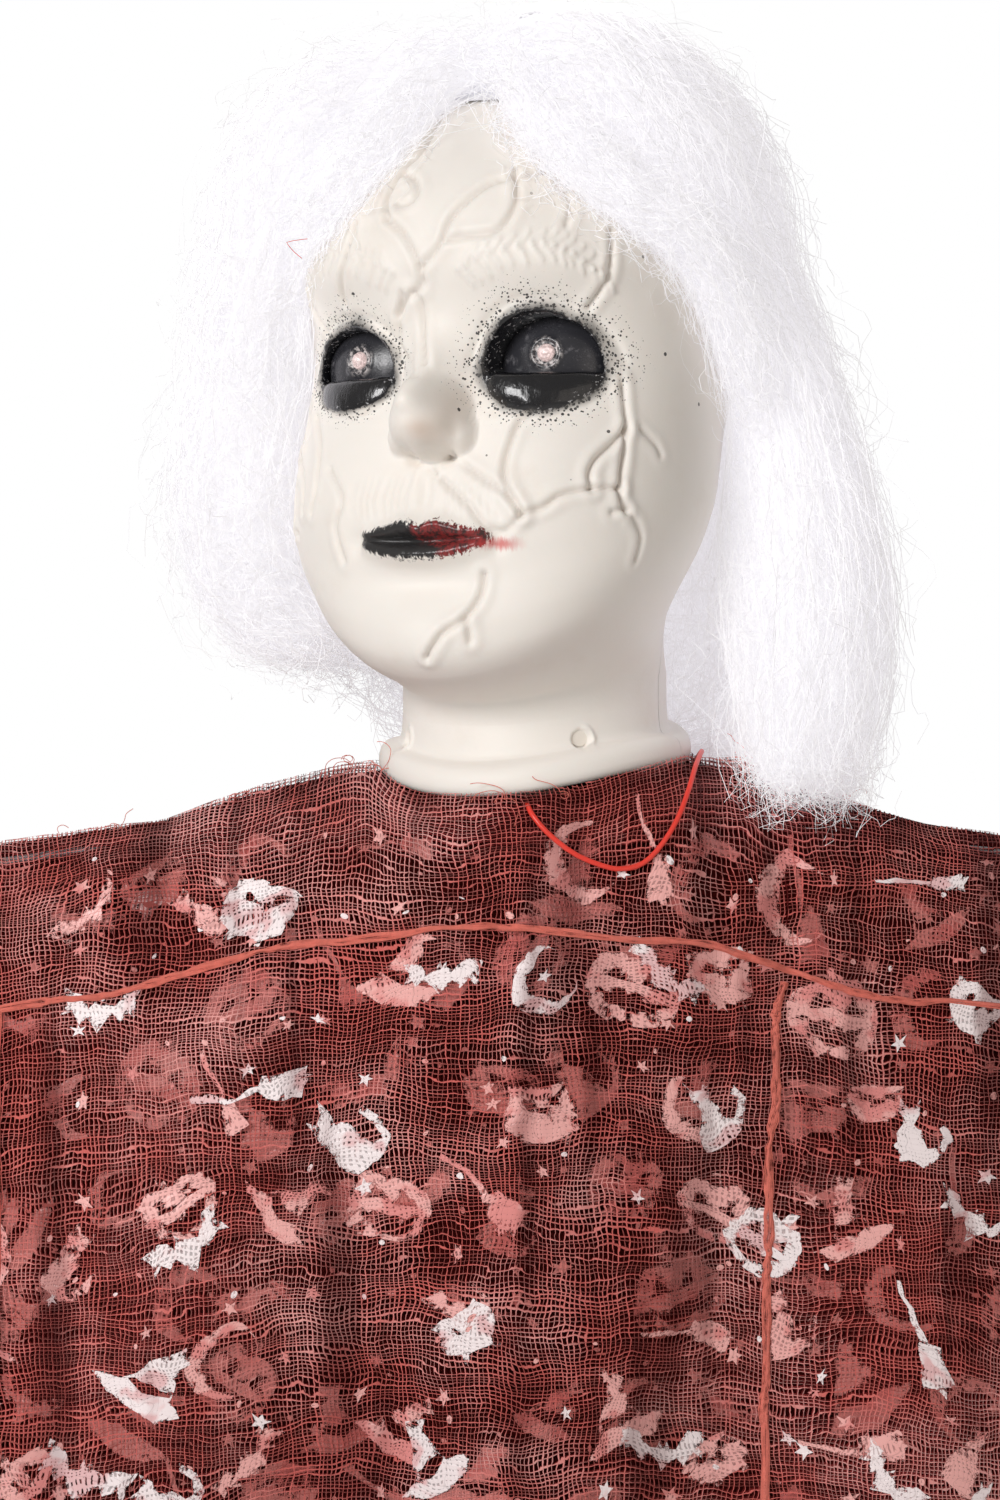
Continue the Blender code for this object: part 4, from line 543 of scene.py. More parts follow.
# Crack lines, as places in the picture, each with its strength
CRACKS = [
    (1.0, [(449, 107), (426, 146), (402, 173), (387, 201), (389, 217)]),
    (0.8, [(402, 173), (415, 180), (418, 190), (412, 200), (398, 207)]),
    (1.0, [(387, 220), (402, 233), (415, 257), (422, 279), (419, 289), (410, 297), (398, 315)]),
    (1.0, [(422, 269), (439, 245), (450, 220), (467, 200), (491, 184), (516, 178), (545, 172), (575, 160)]),
    (0.9, [(516, 168), (517, 184), (516, 199), (510, 219), (494, 231), (464, 236), (447, 242)]),
    (0.9, [(356, 223), (349, 245), (341, 272), (343, 294), (346, 303)]),
    (1.0, [(415, 297), (421, 303), (424, 334), (424, 364)]),
    (0.7, [(403, 294), (400, 325), (404, 352), (416, 378)]),
    (0.9, [(611, 230), (612, 254), (607, 279), (589, 309)]),
    (1.1, [(604, 346), (623, 389), (626, 425), (623, 456), (620, 493), (626, 511)]),
    (0.5, [(640, 430), (655, 445), (660, 455)]),
    (1.0, [(531, 413), (519, 425), (510, 441), (505, 462), (506, 484), (522, 514)]),
    (1.0, [(522, 514), (543, 507), (562, 494), (592, 488), (620, 487)]),
    (1.0, [(626, 428), (614, 444), (595, 459), (589, 474), (592, 488)]),
    (1.0, [(485, 575), (481, 594), (465, 616), (445, 632), (434, 644), (427, 657)]),
    (0.8, [(465, 618), (468, 628), (470, 640)]),
    (0.9, [(433, 472), (452, 490), (470, 507), (486, 525), (503, 531), (521, 518)]),
    (0.8, [(317, 419), (320, 438), (320, 456), (316, 486), (311, 514)]),
    (0.6, [(330, 470), (342, 500), (336, 530), (345, 560)]),
    (0.6, [(611, 511), (626, 511), (640, 535), (636, 560)]),
    (0.6, [(545, 172), (570, 200), (566, 226)]),
    (0.9, [(452, 458), (470, 470), (488, 481), (505, 494), (519, 508)]),
]


def smooth_line(points, step=1.0):
    """A smooth line through points, with a point about every step millimetres."""
    points = np.asarray(points, float)
    count = max(2, int(np.linalg.norm(np.diff(points, axis=0), axis=1).sum() / step))
    return catmull(points, np.linspace(0, len(points) - 1, count))


def line_distance(points, line, reach):
    """Distance of each point to a line of 3D points, where it is under reach."""
    flat = points.reshape(-1, 3)
    best = np.full(len(flat), 1e9)
    low, high = line.min(axis=0) - reach, line.max(axis=0) + reach
    near = np.nonzero(((flat > low) & (flat < high)).all(axis=1))[0]
    some = flat[near]
    found = np.full(len(some), 1e9)
    for a, b in zip(line[:-1], line[1:]):
        span = b - a
        t = np.clip(((some - a) @ span) / max(span @ span, 1e-9), 0, 1)
        found = np.minimum(found, np.linalg.norm(some - a - t[:, None] * span, axis=1))
    best[near] = found
    return best.reshape(points.shape[:-1])


def lines_on_head(points, normals):
    """The crack lines laid on the head, and copies of some on the side that the picture does not show."""
    world = to_world(points)
    picture = photo_place(world)
    c, s = math.cos(TURN), math.sin(TURN)
    facing = normals[..., 0] * s + normals[..., 1] * c
    seen = (facing < -0.12) & (points[..., 2] > 14)
    spots = picture[seen]
    places = points[seen]
    lines = []
    for strength, route in CRACKS:
        found = [places[np.argmin(((spots - spot) ** 2).sum(axis=1))] for spot in route]
        lines.append((strength, smooth_line(found)))
    flat = points.reshape(-1, 3)
    for k in (8, 9, 13, 19):
        strength, line = lines[k]
        other = line * (-1, 1, 1) + (0, 0, -4)
        lines.append((strength, np.array([flat[np.argmin(((flat - p) ** 2).sum(axis=1))] for p in other])))
    return lines


def brow_lines(points):
    """Short raised strokes, slanting up and down from the line of each brow."""
    flat = points[points[..., 1] < -20]
    spine = catmull([(9.5, 125.5), (19, 129.5), (30, 131.5), (37, 129.5), (43, 124)], np.linspace(0, 4, 14))
    lines = []
    for side in (-1, 1):
        for k in range(len(spine)):
            for up in (-1, 1):
                start = spine[k]
                lean = 3.4 - 0.12 * k
                end = start + (lean, up * (4.4 - 0.12 * k) - 0.12 * k)
                ends = [start, (start + end) / 2 + (0.3, 0), end]
                found = []
                for x, z in ends:
                    near = np.argmin((flat[:, 0] - side * x) ** 2 + (flat[:, 2] - z) ** 2)
                    found.append(flat[near])
                lines.append(np.array(found))
    return lines


def build_head_mesh(settings):
    """The finished skin: relief, crack lines, brow strokes, catch recesses and small roughness."""
    points = head_surface()
    normals = surface_normals(points)
    lift = np.zeros(points.shape[:-1])
    crack = np.zeros_like(lift)
    depth = settings.crack_depth / MM
    open_area = ease(lid_distance(points[..., 0], points[..., 2]) / 1.5) * (points[..., 1] < 40)
    for strength, line in lines_on_head(points, normals):
        d = line_distance(points, line, 5.0)
        lift += strength * (-depth * 2.1 * bell(d, 0.75) + depth * 0.8 * bell(d - 2.1, 1.5)) * open_area
        # The crack share is the mask for painted shade along the crack grooves.
        crack = np.maximum(crack, strength * bell(d, 0.55) * open_area)
    for line in brow_lines(points):
        d = line_distance(points, line, 2.0)
        lift += 0.6 * bell(d, 0.5)
    x, y, z = points[..., 0], points[..., 1], points[..., 2]
    lift += 0.05 * wave_noise(x * 0.25, y * 0.25, z * 0.25, 5)
    jaw = bell(x + 44, 9) * bell(z - 38, 9) * (y < -15)
    lift -= 0.35 * jaw * np.clip(wave_noise(x * 1.3, y * 1.3, z * 1.3, 8, 2), 0, 1)
    for azimuth in (45, 135, 225, 315):
        a = math.radians(azimuth)
        spot = np.array([36.4 * math.sin(a), -36.4 * math.cos(a), 8.0 - 7.24 * math.cos(a)])
        d = np.linalg.norm(points - spot, axis=-1)
        aside = (x * math.cos(a) + y * math.sin(a)) / np.maximum(d, 0.5)
        lift += -2.0 * (1 - ease((d - 1.5) / 1.5)) + 0.8 * bell(d - 3.6, 0.6) * ease(aside * 1.4 + 0.1)
    seam = bell(y - PARTING, 0.35) * (z > -8)
    lift -= 0.18 * seam
    points = points + normals * lift[..., None]
    return points, crack


def skin_object(name, points, crack, front, material):
    """One moulded shell of the head, cut from the whole skin at the parting plane."""
    rows, wide = points.shape[:2]
    bm = bmesh.new()
    bmesh.ops.create_grid(bm, x_segments=wide - 1, y_segments=rows - 1, size=0.5)
    x, y, z = points[..., 0], points[..., 1], points[..., 2]
    # Painted shade, brown, under the nose tip and down the nose's right side.
    painted_nose_shade = 0.45 * bell(x - 3.5, 3.6) * bell(z - 83.0, 3.0) + 0.22 * bell(x - 8.5, 3.5) * bell(z - 89, 8)
    spared = (x < 0) * (0.5 + 3.4 * ease((93.5 - z) / 5) + 1.6 * ease((z - 108) / 4))
    behind = (y > -10) * 60
    layers = {
        "across": x,
        "socket": socket_distance(x, z) + spared + behind,
        "lips": lip_distance(x, z) + behind,
        "crack": crack,
        "painted_nose_shade": painted_nose_shade * (y < -40),
    }
    made = {key: bm.verts.layers.float.new(key) for key in layers}
    places = to_world(points).reshape(-1, 3)
    values = {key: value.reshape(-1) for key, value in layers.items()}
    bm.verts.ensure_lookup_table()
    for index, vert in enumerate(bm.verts):
        vert.co = places[index]
        for key, layer in made.items():
            vert[layer] = float(values[key][index])
    bmesh.ops.remove_doubles(bm, verts=bm.verts, dist=WELD)
    cut_at = PARTING - 0.08 if front else PARTING + 0.08
    normal = Vector((-math.sin(TURN), math.cos(TURN), 0)) * (1 if front else -1)
    centre = to_world(np.array([0.0, cut_at, 0.0]))
    bmesh.ops.bisect_plane(
        bm,
        geom=bm.verts[:] + bm.edges[:] + bm.faces[:],
        plane_co=centre,
        plane_no=normal,
        clear_outer=True,
    )
    bmesh.ops.recalc_face_normals(bm, faces=bm.faces)
    faces = bm.faces[:]
    some = faces[:: max(1, len(faces) // 400)]
    middle = Vector(to_world(np.array([0.0, 0.0, 90.0])))
    if sum((face.calc_center_median() - middle).dot(face.normal) for face in some) < 0:
        bmesh.ops.reverse_faces(bm, faces=bm.faces)
    return mesh_object(name, bm, material)


def skin_material(settings):
    """Ivory plastic with sprayed black eyes, brushed lips, painted shade in the crack grooves and painted shade under
    the nose.
    """
    material, tree, shader = make_material("painted_ivory_plastic")
    coords = tree.object_coords()
    socket = tree.attribute("socket")
    lips = tree.attribute("lips")
    across = tree.attribute("across")
    crack = tree.attribute("crack")
    grain = surface_grain(tree, coords, settings.plastic, 14.0, 0.06)
    stain = tree.ramp(tree.noise(coords, 34.0, 5.0, 0.65), 0.52, 0.75, 0.0, 0.25)
    base = tree.mix(stain, grain["Colour"], (0.72, 0.63, 0.54))
    # Painted shade: a brown darkening in the crack grooves.
    base = tree.mix(tree.times(crack, 0.30, clamp=True), base, (0.42, 0.33, 0.27))
    # Painted shade under the nose tip and down its right side.
    base = tree.mix(tree.attribute("painted_nose_shade"), base, (0.56, 0.38, 0.27))
    edge_noise = tree.scaled(tree.noise(coords, 420.0, 4.0, 0.7), 7.0, -3.5)
    broad_noise = tree.scaled(tree.noise(coords, 90.0, 3.0), 6.0, -3.0)
    reach = tree.plus(socket, tree.times(tree.plus(edge_noise, broad_noise), 0.45))
    solid = tree.minus(1.0, tree.ramp(reach, -0.6, 0.7))
    dots = tree.node("ShaderNodeTexVoronoi", {"Vector": coords, "Scale": 1350.0, "Randomness": 1.0})
    chance = tree.ramp(socket, -0.5, 8.0, 0.72, 0.10, False)
    own = tree.node("ShaderNodeSeparateXYZ", {"Vector": dots.outputs["Color"]}).outputs[1]
    chance = tree.times(chance, tree.scaled(own, 1.5, -0.35))
    dotted = tree.math("LESS_THAN", dots.outputs["Distance"], chance)
    near = tree.ramp(tree.plus(socket, broad_noise), 6.5, 9.5, 1.0, 0.0)
    speckle = tree.times(tree.times(dotted, near), 0.93)
    stray = tree.node("ShaderNodeTexVoronoi", {"Vector": coords, "Scale": 160.0, "Randomness": 1.0})
    stray_dot = tree.math("LESS_THAN", stray.outputs["Distance"], 0.085)
    pick = tree.math("GREATER_THAN", stray.outputs["Color"], 0.72)
    strays = tree.times(tree.times(stray_dot, pick), tree.ramp(socket, 8.0, 40.0, 0.9, 0.0))
    haze = tree.ramp(tree.plus(socket, tree.times(broad_noise, 0.7)), -1.0, 2.6, 0.8, 0.0)
    paint = tree.most(tree.most(solid, speckle), tree.most(strays, haze))
    flecks = tree.ramp(tree.noise(tree.stretch(coords, (1, 1, 1.6)), 750.0, 3.0, 0.6), 0.60, 0.66)
    ring = tree.minus(1.0, tree.ramp(tree.math("ABSOLUTE", tree.plus(socket, 1.5)), 0.3, 1.7))
    worn = tree.times(flecks, tree.times(ring, 0.9))
    painted = tree.mix(worn, settings.paint, (0.50, 0.49, 0.50))
    base = tree.mix(paint, base, painted)
    strokes = tree.noise(tree.stretch(coords, (1, 1, 0.14)), 900.0, 4.0, 0.75)
    ragged = tree.plus(lips, tree.scaled(strokes, 7.0, -3.6))
    lip_mask = tree.minus(1.0, tree.ramp(ragged, -0.7, 0.1))
    height = tree.node("ShaderNodeSeparateXYZ", {"Vector": coords}).outputs[2]
    below = tree.ramp(height, DATUM + 0.0525, DATUM + 0.0550, -6.5, 1.5, False)
    edge = tree.plus(tree.plus(across, below), tree.times(edge_noise, 0.9))
    red_side = tree.ramp(tree.plus(edge, tree.times(broad_noise, 0.5)), -1.5, 1.5)
    worn_red = tree.mix(
        tree.ramp(tree.noise(tree.stretch(coords, (1, 1, 0.3)), 600.0, 4.0, 0.7), 0.42, 0.60),
        settings.lip_red,
        (0.035, 0.002, 0.003),
    )
    lip_colour = tree.mix(red_side, settings.paint, worn_red)
    base = tree.mix(tree.times(lip_mask, 0.97), base, lip_colour)
    smear_place = tree.math("ABSOLUTE", tree.minus(across, 21.0))
    level = tree.math("ABSOLUTE", tree.minus(height, DATUM + 0.0535))
    smear = tree.times(
        tree.ramp(smear_place, 0.0, 8.0, 1.0, 0.0),
        tree.ramp(tree.plus(level, tree.scaled(strokes, 0.004, -0.002)), 0.0, 0.0022, 1.0, 0.0),
    )
    front = tree.ramp(lips, 30.0, 40.0, 1.0, 0.0)
    base = tree.mix(tree.times(tree.times(smear, front), 0.75), base, (0.62, 0.05, 0.05))
    tree.feed(shader["Base Color"], base)
    any_paint = tree.most(solid, lip_mask)
    rough = tree.mix_value(any_paint, tree.ramp(grain["Share"], 0.2, 0.8, 0.46, 0.6, False), 0.24)
    tree.feed(shader["Roughness"], rough)
    tree.feed(shader["Coat Weight"], tree.times(solid, 0.6))
    shader["Coat Roughness"].default_value = 0.06
    pits = tree.noise(coords, 900.0, 3.0, 0.6)
    runs = tree.noise(tree.stretch(coords, (1, 1, 0.5)), 330.0, 4.0, 0.6)
    coat = tree.times(any_paint, tree.scaled(runs, 9.0, 0.4))
    relief = tree.plus(tree.times(pits, 0.5), coat)
    tree.bump(shader, relief, 0.22, 0.0003)
    shader["Specular IOR Level"].default_value = 0.38
    shader["Subsurface Weight"].default_value = 0.12
    shader["Subsurface Radius"].default_value = (0.6, 0.4, 0.3)
    shader["Subsurface Scale"].default_value = 0.004
    return material


class GHOST_OT_head(bpy.types.Operator):
    """Builds the two moulded shells of the head with their paint"""

    bl_idname = "ghost.head"
    bl_label = "Head"

    def execute(self, context):
        settings = context.scene.ghost_head
        points, crack = build_head_mesh(settings)
        material = skin_material(settings)
        for name, node, front in (("doll_face", "face_shell", True), ("doll_back", "back_shell", False)):
            obj = skin_object(name, points, crack, front, material)
            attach(obj, "head")
            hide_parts(node)
        return {"FINISHED"}


# Eyes


def eye_frame(side):
    """The eye's own frame: its centre, and its z axis out of the face along the lamp."""
    toe, reach = math.radians(10), 13.0
    head = Matrix.Translation((0, 0, DATUM)) @ Matrix.Rotation(TURN, 4, "Z")
    centre = Vector((side * (EYE_OUT - reach * math.sin(toe)), -(51.4 - reach), 104.0)) * MM
    place = head @ Matrix.Translation(centre)
    return place @ Matrix.Rotation(side * toe, 4, "Z") @ Matrix.Rotation(math.pi / 2, 4, "X")


def turned(bm, profile):
    """A form turned about z from a profile of (radius, height) points."""
    verts = [bm.verts.new((r, 0, z)) for r, z in profile]
    edges = [bm.edges.new(pair) for pair in zip(verts, verts[1:])]
    bmesh.ops.spin(
        bm,
        geom=verts + edges,
        axis=(0, 0, 1),
        cent=(0, 0, 0),
        angle=2 * math.pi,
        steps=40,
        use_merge=True,
    )
    bmesh.ops.remove_doubles(bm, verts=bm.verts, dist=WELD)
    bmesh.ops.recalc_face_normals(bm, faces=bm.faces)


def eye_material():
    material, tree, shader = make_material("charcoal_eye")
    coords = tree.object_coords()
    grain = surface_grain(tree, coords, (0.030, 0.030, 0.036), 160.0, 0.7)
    dust = tree.ramp(tree.noise(coords, 1400.0, 3.0, 0.7), 0.64, 0.72, 0.0, 0.35)
    glue = tree.ramp(tree.attribute("rim"), 3.2, 5.0, 0.9, 0.0)
    glitter = tree.times(tree.ramp(tree.noise(coords, 700.0, 5.0, 0.75), 0.46, 0.58), glue)
    mottle = tree.ramp(tree.noise(coords, 240.0, 5.0, 0.7), 0.55, 0.72, 0.0, 0.5)
    dust = tree.most(dust, mottle)
    shade = tree.mix(dust, grain["Colour"], (0.30, 0.29, 0.31))
    tree.feed(shader["Base Color"], tree.mix(glitter, shade, (0.66, 0.61, 0.60)))
    tree.feed(shader["Roughness"], tree.ramp(grain["Share"], 0.3, 0.7, 0.16, 0.34, False))
    tree.bump(shader, grain["Height"], 0.25, 0.0002)
    return material


def lamp_materials():
    clear, tree, shader = make_material("clear_lamp_body")
    shader["Base Color"].default_value = (0.97, 0.90, 0.90, 1)
    shader["Transmission Weight"].default_value = 0.85
    shader["IOR"].default_value = 1.5
    haze = tree.noise(tree.object_coords(), 900.0, 3.0)
    tree.feed(shader["Roughness"], tree.ramp(haze, 0.3, 0.7, 0.06, 0.2, False))
    cup, tree, shader = make_material("lamp_reflector")
    mottle = tree.noise(tree.object_coords(), 1600.0, 3.0)
    glow = tree.mix(tree.ramp(mottle, 0.35, 0.65), (0.50, 0.38, 0.36), (0.86, 0.74, 0.72))
    tree.feed(shader["Base Color"], glow)
    # Emission: painted light, a glow on the reflector cup standing in for the light that reaches it through the clear
    # dome.
    tree.feed(shader["Emission Color"], glow)
    shader["Emission Strength"].default_value = 0.42
    shader["Roughness"].default_value = 0.3
    return clear, cup


# The lamp's reflector cup: radius, and height from the lamp's face
CUP_PROFILE = [(0.0, 0.0004), (0.0005, 0.0003), (0.0009, 0.0001), (0.0013, 0.0001), (0.0018, 0.0002)]
CUP_PROFILE += [(0.00205, 0.0002), (0.00225, -0.0001), (0.0023, -0.0036), (0.0, -0.0036)]


class GHOST_OT_eyes(bpy.types.Operator):
    """Builds the dark eyes and the clear lamps in them"""

    bl_idname = "ghost.eyes"
    bl_label = "Eyes"

    def execute(self, context):
        dark = eye_material()
        clear, cup = lamp_materials()
        for side, word in ((-1, "left"), (1, "right")):
            place = eye_frame(side)
            bm = bmesh.new()
            bmesh.ops.create_uvsphere(bm, u_segments=64, v_segments=160, radius=1)
            bmesh.ops.scale(bm, vec=(0.0172, 0.0158, 0.0129), verts=bm.verts)
            bmesh.ops.translate(bm, vec=(0, -0.0015, 0), verts=bm.verts)
            back = [vert for vert in bm.verts if vert.co.z < 0.0058]
            bmesh.ops.delete(bm, geom=back, context="VERTS")
            for vert in bm.verts:
                radius = math.hypot(vert.co.x, vert.co.y)
                vert.co.z -= 0.0005 * math.exp(-(((radius - 0.0029) / 0.0005) ** 2))
                vert.co.z += 0.0004 * math.exp(-(((radius - 0.0038) / 0.0007) ** 2))
            rims = [math.hypot(vert.co.x, vert.co.y) / MM for vert in bm.verts]
            bmesh.ops.transform(bm, matrix=place, verts=bm.verts)
            ball = mesh_object(f"eye_{word}", bm, dark)
            set_attribute(ball.data, "rim", rims)
            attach(ball, "head")
            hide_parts(f"eyeball_{word}")
            front = 0.013
            bm = bmesh.new()
            bulb, arc = 0.00248, np.linspace(0, 1.5, 12)
            dome = [(bulb * math.sin(a), front + 0.0016 - bulb * (1 - math.cos(a))) for a in arc]
            turned(bm, dome + [(0.0025, front - 0.004), (0.0, front - 0.004)])
            bmesh.ops.transform(bm, matrix=place, verts=bm.verts)
            lamp = mesh_object(f"lamp_{word}", bm, clear)
            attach(lamp, "head")
            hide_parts(f"eye_lamp_{word}")
            bm = bmesh.new()
            turned(bm, [(radius, front + height) for radius, height in CUP_PROFILE])
            bmesh.ops.transform(bm, matrix=place, verts=bm.verts)
            inner = mesh_object(f"lamp_cup_{word}", bm, cup)
            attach(inner, "head")
        return {"FINISHED"}


# Wig

# Each lock: distance out, height, half thickness, forward offset, half depth, in head millimetres
LOCKS = {
    "left": [
        (-2, 186, 7, 9, 36), (34, 178, 14, 11, 42), (55, 158, 19, 13, 43), (63, 127, 20, 13, 43), (68, 99, 20, 11, 43),
        (73, 68, 19, 11, 43), (68, 43, 17, 9, 41), (56, 30, 11, 6, 36),
    ],
    "right": [
        (-3, 190, 7, 9, 36), (28, 183, 13, 5, 38), (44, 159, 15, -4, 34), (49, 129, 14, -18, 25),
        (59, 99, 15, -24, 20), (68, 65, 17, -22, 22), (75, 30, 18, -17, 25), (77, -8, 14, -12, 28),
    ],
    "back": [
        (8, 187, 7, 0, 44), (40, 175, 12, 0, 48), (56, 148, 12, 0, 50), (61, 110, 12, 0, 56), (61, 70, 13, 0, 66),
        (58, 34, 13, 0, 66), (56, -1, 11, 0, 63),
    ],
    "front_left": [
        (-2, 189, 5, 16, 16), (12, 177, 6, 36, 13), (21, 160, 7, 50, 11), (33, 147, 8, 51, 11), (48, 135, 8, 40, 12),
        (60, 120, 8, 26, 14), (65, 102, 8, 18, 16),
    ],
    "front_right": [
        (-2, 190, 5, 16, 15), (16, 175, 5, 39, 10), (31, 157, 5, 47, 7), (44, 146, 5, 42, 7), (55, 137, 6, 28, 9),
        (61, 118, 7, 8, 12), (64, 92, 8, -8, 14),
    ],
}
SIDES = {"left": -1, "right": 1, "back": 0, "front_left": -1, "front_right": 1}


def scalp_push(points, gap):
    """Moves points that are in the head out to a gap above its skin."""
    rows = head_rows()
    levels = rows[:, 4]
    order = np.argsort(levels)
    x, y, z = points[..., 0], points[..., 1], points[..., 2]
    width, fore, aft, middle = (np.interp(z, levels[order], rows[order, k]) for k in (2, 0, 5, 3))
    centre = -middle
    depth = np.where(y < centre, fore - middle, aft + middle)
    share = np.sqrt((x / np.maximum(width + gap, 1)) ** 2 + ((y - centre) / np.maximum(depth + gap, 1)) ** 2)
    grow = np.where((share < 1) & (z < HEAD_RISE), 1 / np.maximum(share, 0.15), 1.0)
    out = points.copy()
    out[..., 0] = x * grow
    out[..., 1] = centre + (y - centre) * grow
    over = np.hypot(x, y)
    dome = HEAD_RISE + gap - over**2 / 95
    low = (over < 30) & (z > 165) & (z < dome)
    out[..., 0] = np.where(low, x, out[..., 0])
    out[..., 1] = np.where(low, y, out[..., 1])
    out[..., 2] = np.where(low, dome, out[..., 2])
    return out


def on_lock(kind, t, psi, rho):
    """Points of a lock at shares t of its length, turned psi round it, at rho of its thickness."""
    table = np.array(LOCKS[kind], float)
    last = len(table) - 1
    place = np.clip(t, 0, 1) * last
    rows = catmull(table, place)
    run = catmull(table, np.minimum(place + 0.15, last)) - catmull(table, np.maximum(place - 0.15, 0))
    run = run[..., :2] / np.maximum(np.linalg.norm(run[..., :2], axis=-1, keepdims=True), 1e-6)
    blunt_c = np.sign(np.cos(psi)) * np.abs(np.cos(psi)) ** 0.8
    blunt_s = np.sign(np.sin(psi)) * np.abs(np.sin(psi)) ** 0.8
    taper = np.clip(1 - ((t - 0.45) / 0.62) ** 6, 0.05, 1)
    across = blunt_c * rho * rows[..., 2] * taper
    aside = blunt_s * rho * rows[..., 4] * (0.45 + 0.55 * ease(t * 6)) * taper**0.5 - rows[..., 3]
    out = rows[..., 0] - run[..., 1] * across
    up = rows[..., 1] + run[..., 0] * across - 8 * np.maximum(t - 1, 0)
    side = SIDES[kind]
    if side:
        return np.stack([side * out, aside, up], axis=-1)
    return np.stack([aside, out - 36 * (aside / 72) ** 2, up], axis=-1)


def wander(rng, count, each, step, hold):
    """Curly offsets along strands: a random walk that is pulled back to its line."""
    walk = np.zeros((count, each, 3))
    drift = rng.normal(0, step, (count, 3))
    for k in range(1, each):
        drift = hold * drift + rng.normal(0, step, (count, 3))
        walk[:, k] = walk[:, k - 1] * 0.82 + drift
    return walk


def clumped(points, seed, size):
    """Pulls neighbouring strands the same way, so that they gather into tufts."""
    x, y, z = points[..., 0] * 0.13, points[..., 1] * 0.13, points[..., 2] * 0.05
    moved = points.copy()
    moved[..., 0] += size * wave_noise(y, z, x, seed)
    moved[..., 1] += size * wave_noise(z, x, y, seed + 9)
    moved[..., 2] += size * 0.6 * wave_noise(x, y, z, seed + 17)
    return moved


def long_strands(kind, count, each, seed):
    """Strands that run most of a lock, gently waved."""
    rng = np.random.default_rng(seed)
    start = rng.uniform(0, 0.10, count) + (rng.uniform(0, 1, count) < 0.4) * rng.uniform(0, 0.5, count)
    end = np.minimum(start + rng.uniform(0.45, 1.0, count), rng.uniform(0.84, 1.04, count))
    t = start[:, None] + (end - start)[:, None] * np.linspace(0, 1, each)[None, :]
    psi = rng.uniform(0, 2 * math.pi, count)[:, None] + np.cumsum(rng.normal(0, 0.05, (count, each)), axis=1)
    rho = (1 - 0.4 * rng.uniform(0, 1, count) ** 2)[:, None]
    rho = rho + 0.05 * np.cumsum(rng.normal(0, 0.3, (count, each)), axis=1)
    points = on_lock(kind, t, psi, np.clip(rho, 0.3, 1.08))
    points += wander(rng, count, each, 1.3, 0.3)
    points = clumped(points, seed, 2.6)
    return scalp_push(points, 1.6 + 1.5 * rng.uniform(0, 1, count)[:, None])


def short_strands(kind, count, each, seed, lengths, stand):
    """Short curled fibres that stand about the surface of a lock like teased cotton, stand being how far out."""
    rng = np.random.default_rng(seed)
    start = rng.uniform(0, 1, count) ** 0.9
    length = rng.uniform(*lengths, count) / 190 * np.where(rng.uniform(0, 1, count) < 0.7, 1, -0.8)
    t = np.clip(start[:, None] + length[:, None] * np.linspace(0, 1, each)[None, :], 0, 1.03)
    psi = rng.uniform(0, 2 * math.pi, count)[:, None] + rng.normal(0, 0.5, count)[:, None] * np.linspace(0, 1, each)
    rho = rng.uniform(0.84, stand, count)[:, None] + rng.normal(0.02, 0.09, count)[:, None] * np.linspace(0, 1, each)
    points = on_lock(kind, t, psi, rho)
    points += wander(rng, count, each, 0.028 * lengths[1] + 0.25, 0.62)
    points = clumped(points, seed % 7, 2.6)
    return scalp_push(points, 1.6 + 2.5 * rng.uniform(0, 1, count)[:, None])


def strand_object(name, points, width, material):
    """Strands as one curve object of flat ribbons."""
    curve = bpy.data.curves.new(name, "CURVE")
    curve.dimensions = "3D"
    curve.extrude = width / 2
    world = to_world(points)
    world[..., 1] = np.clip(world[..., 1], CAD_BOX[0][1] - PAST_BOX, CAD_BOX[1][1] + PAST_BOX)
    each = world.shape[1]
    padded = np.ones((len(world), each, 4))
    padded[..., :3] = world
    for strand in padded:
        spline = curve.splines.new("POLY")
        spline.points.add(each - 1)
        spline.points.foreach_set("co", strand.reshape(-1))
    curve.materials.append(material)
    return link(bpy.data.objects.new(name, curve))


def hair_material(settings):
    material, tree, shader = make_material("white_fibre")
    coords = tree.object_coords()
    grain = surface_grain(tree, coords, settings.colour, 30.0, 0.10)
    tree.feed(shader["Base Color"], grain["Colour"])
    tree.feed(shader["Roughness"], tree.ramp(grain["Share"], 0.2, 0.8, 0.45, 0.7, False))
    shader["Sheen Weight"].default_value = 0.3
    shader["Sheen Roughness"].default_value = 0.4
    shader["Specular IOR Level"].default_value = 0.25
    # Emission: painted light, a faint glow standing in for the light that scatters between the white strands.
    shader["Emission Color"].default_value = (0.96, 0.92, 0.95, 1)
    shader["Emission Strength"].default_value = 0.26
    return material


def hair_core(kind, material):
    """The dense middle of a lock, under its strands."""
    bm = bmesh.new()
    bmesh.ops.create_uvsphere(bm, u_segments=56, v_segments=64, radius=1)
    co = np.array([vert.co[:] for vert in bm.verts])
    radius = np.hypot(co[:, 0], co[:, 1])
    psi = np.arctan2(co[:, 1], co[:, 0])
    points = on_lock(kind, 0.03 + 0.94 * (1 - co[:, 2]) / 2, psi, 0.84 * np.minimum(radius, 1) ** 0.55)
    points = clumped(points, 40 + len(kind), 2.6)
    rough = wave_noise(points[:, 0] * 0.35, points[:, 1] * 0.35, points[:, 2] * 0.12, 3, 3)
    points += (points - points.mean(axis=0)) * 0.03 * rough[:, None]
    points = scalp_push(points, 2.2)
    for vert, place in zip(bm.verts, to_world(points)):
        vert.co = place
    bmesh.ops.recalc_face_normals(bm, faces=bm.faces)
    return mesh_object(f"hair_core_{kind}", bm, material)


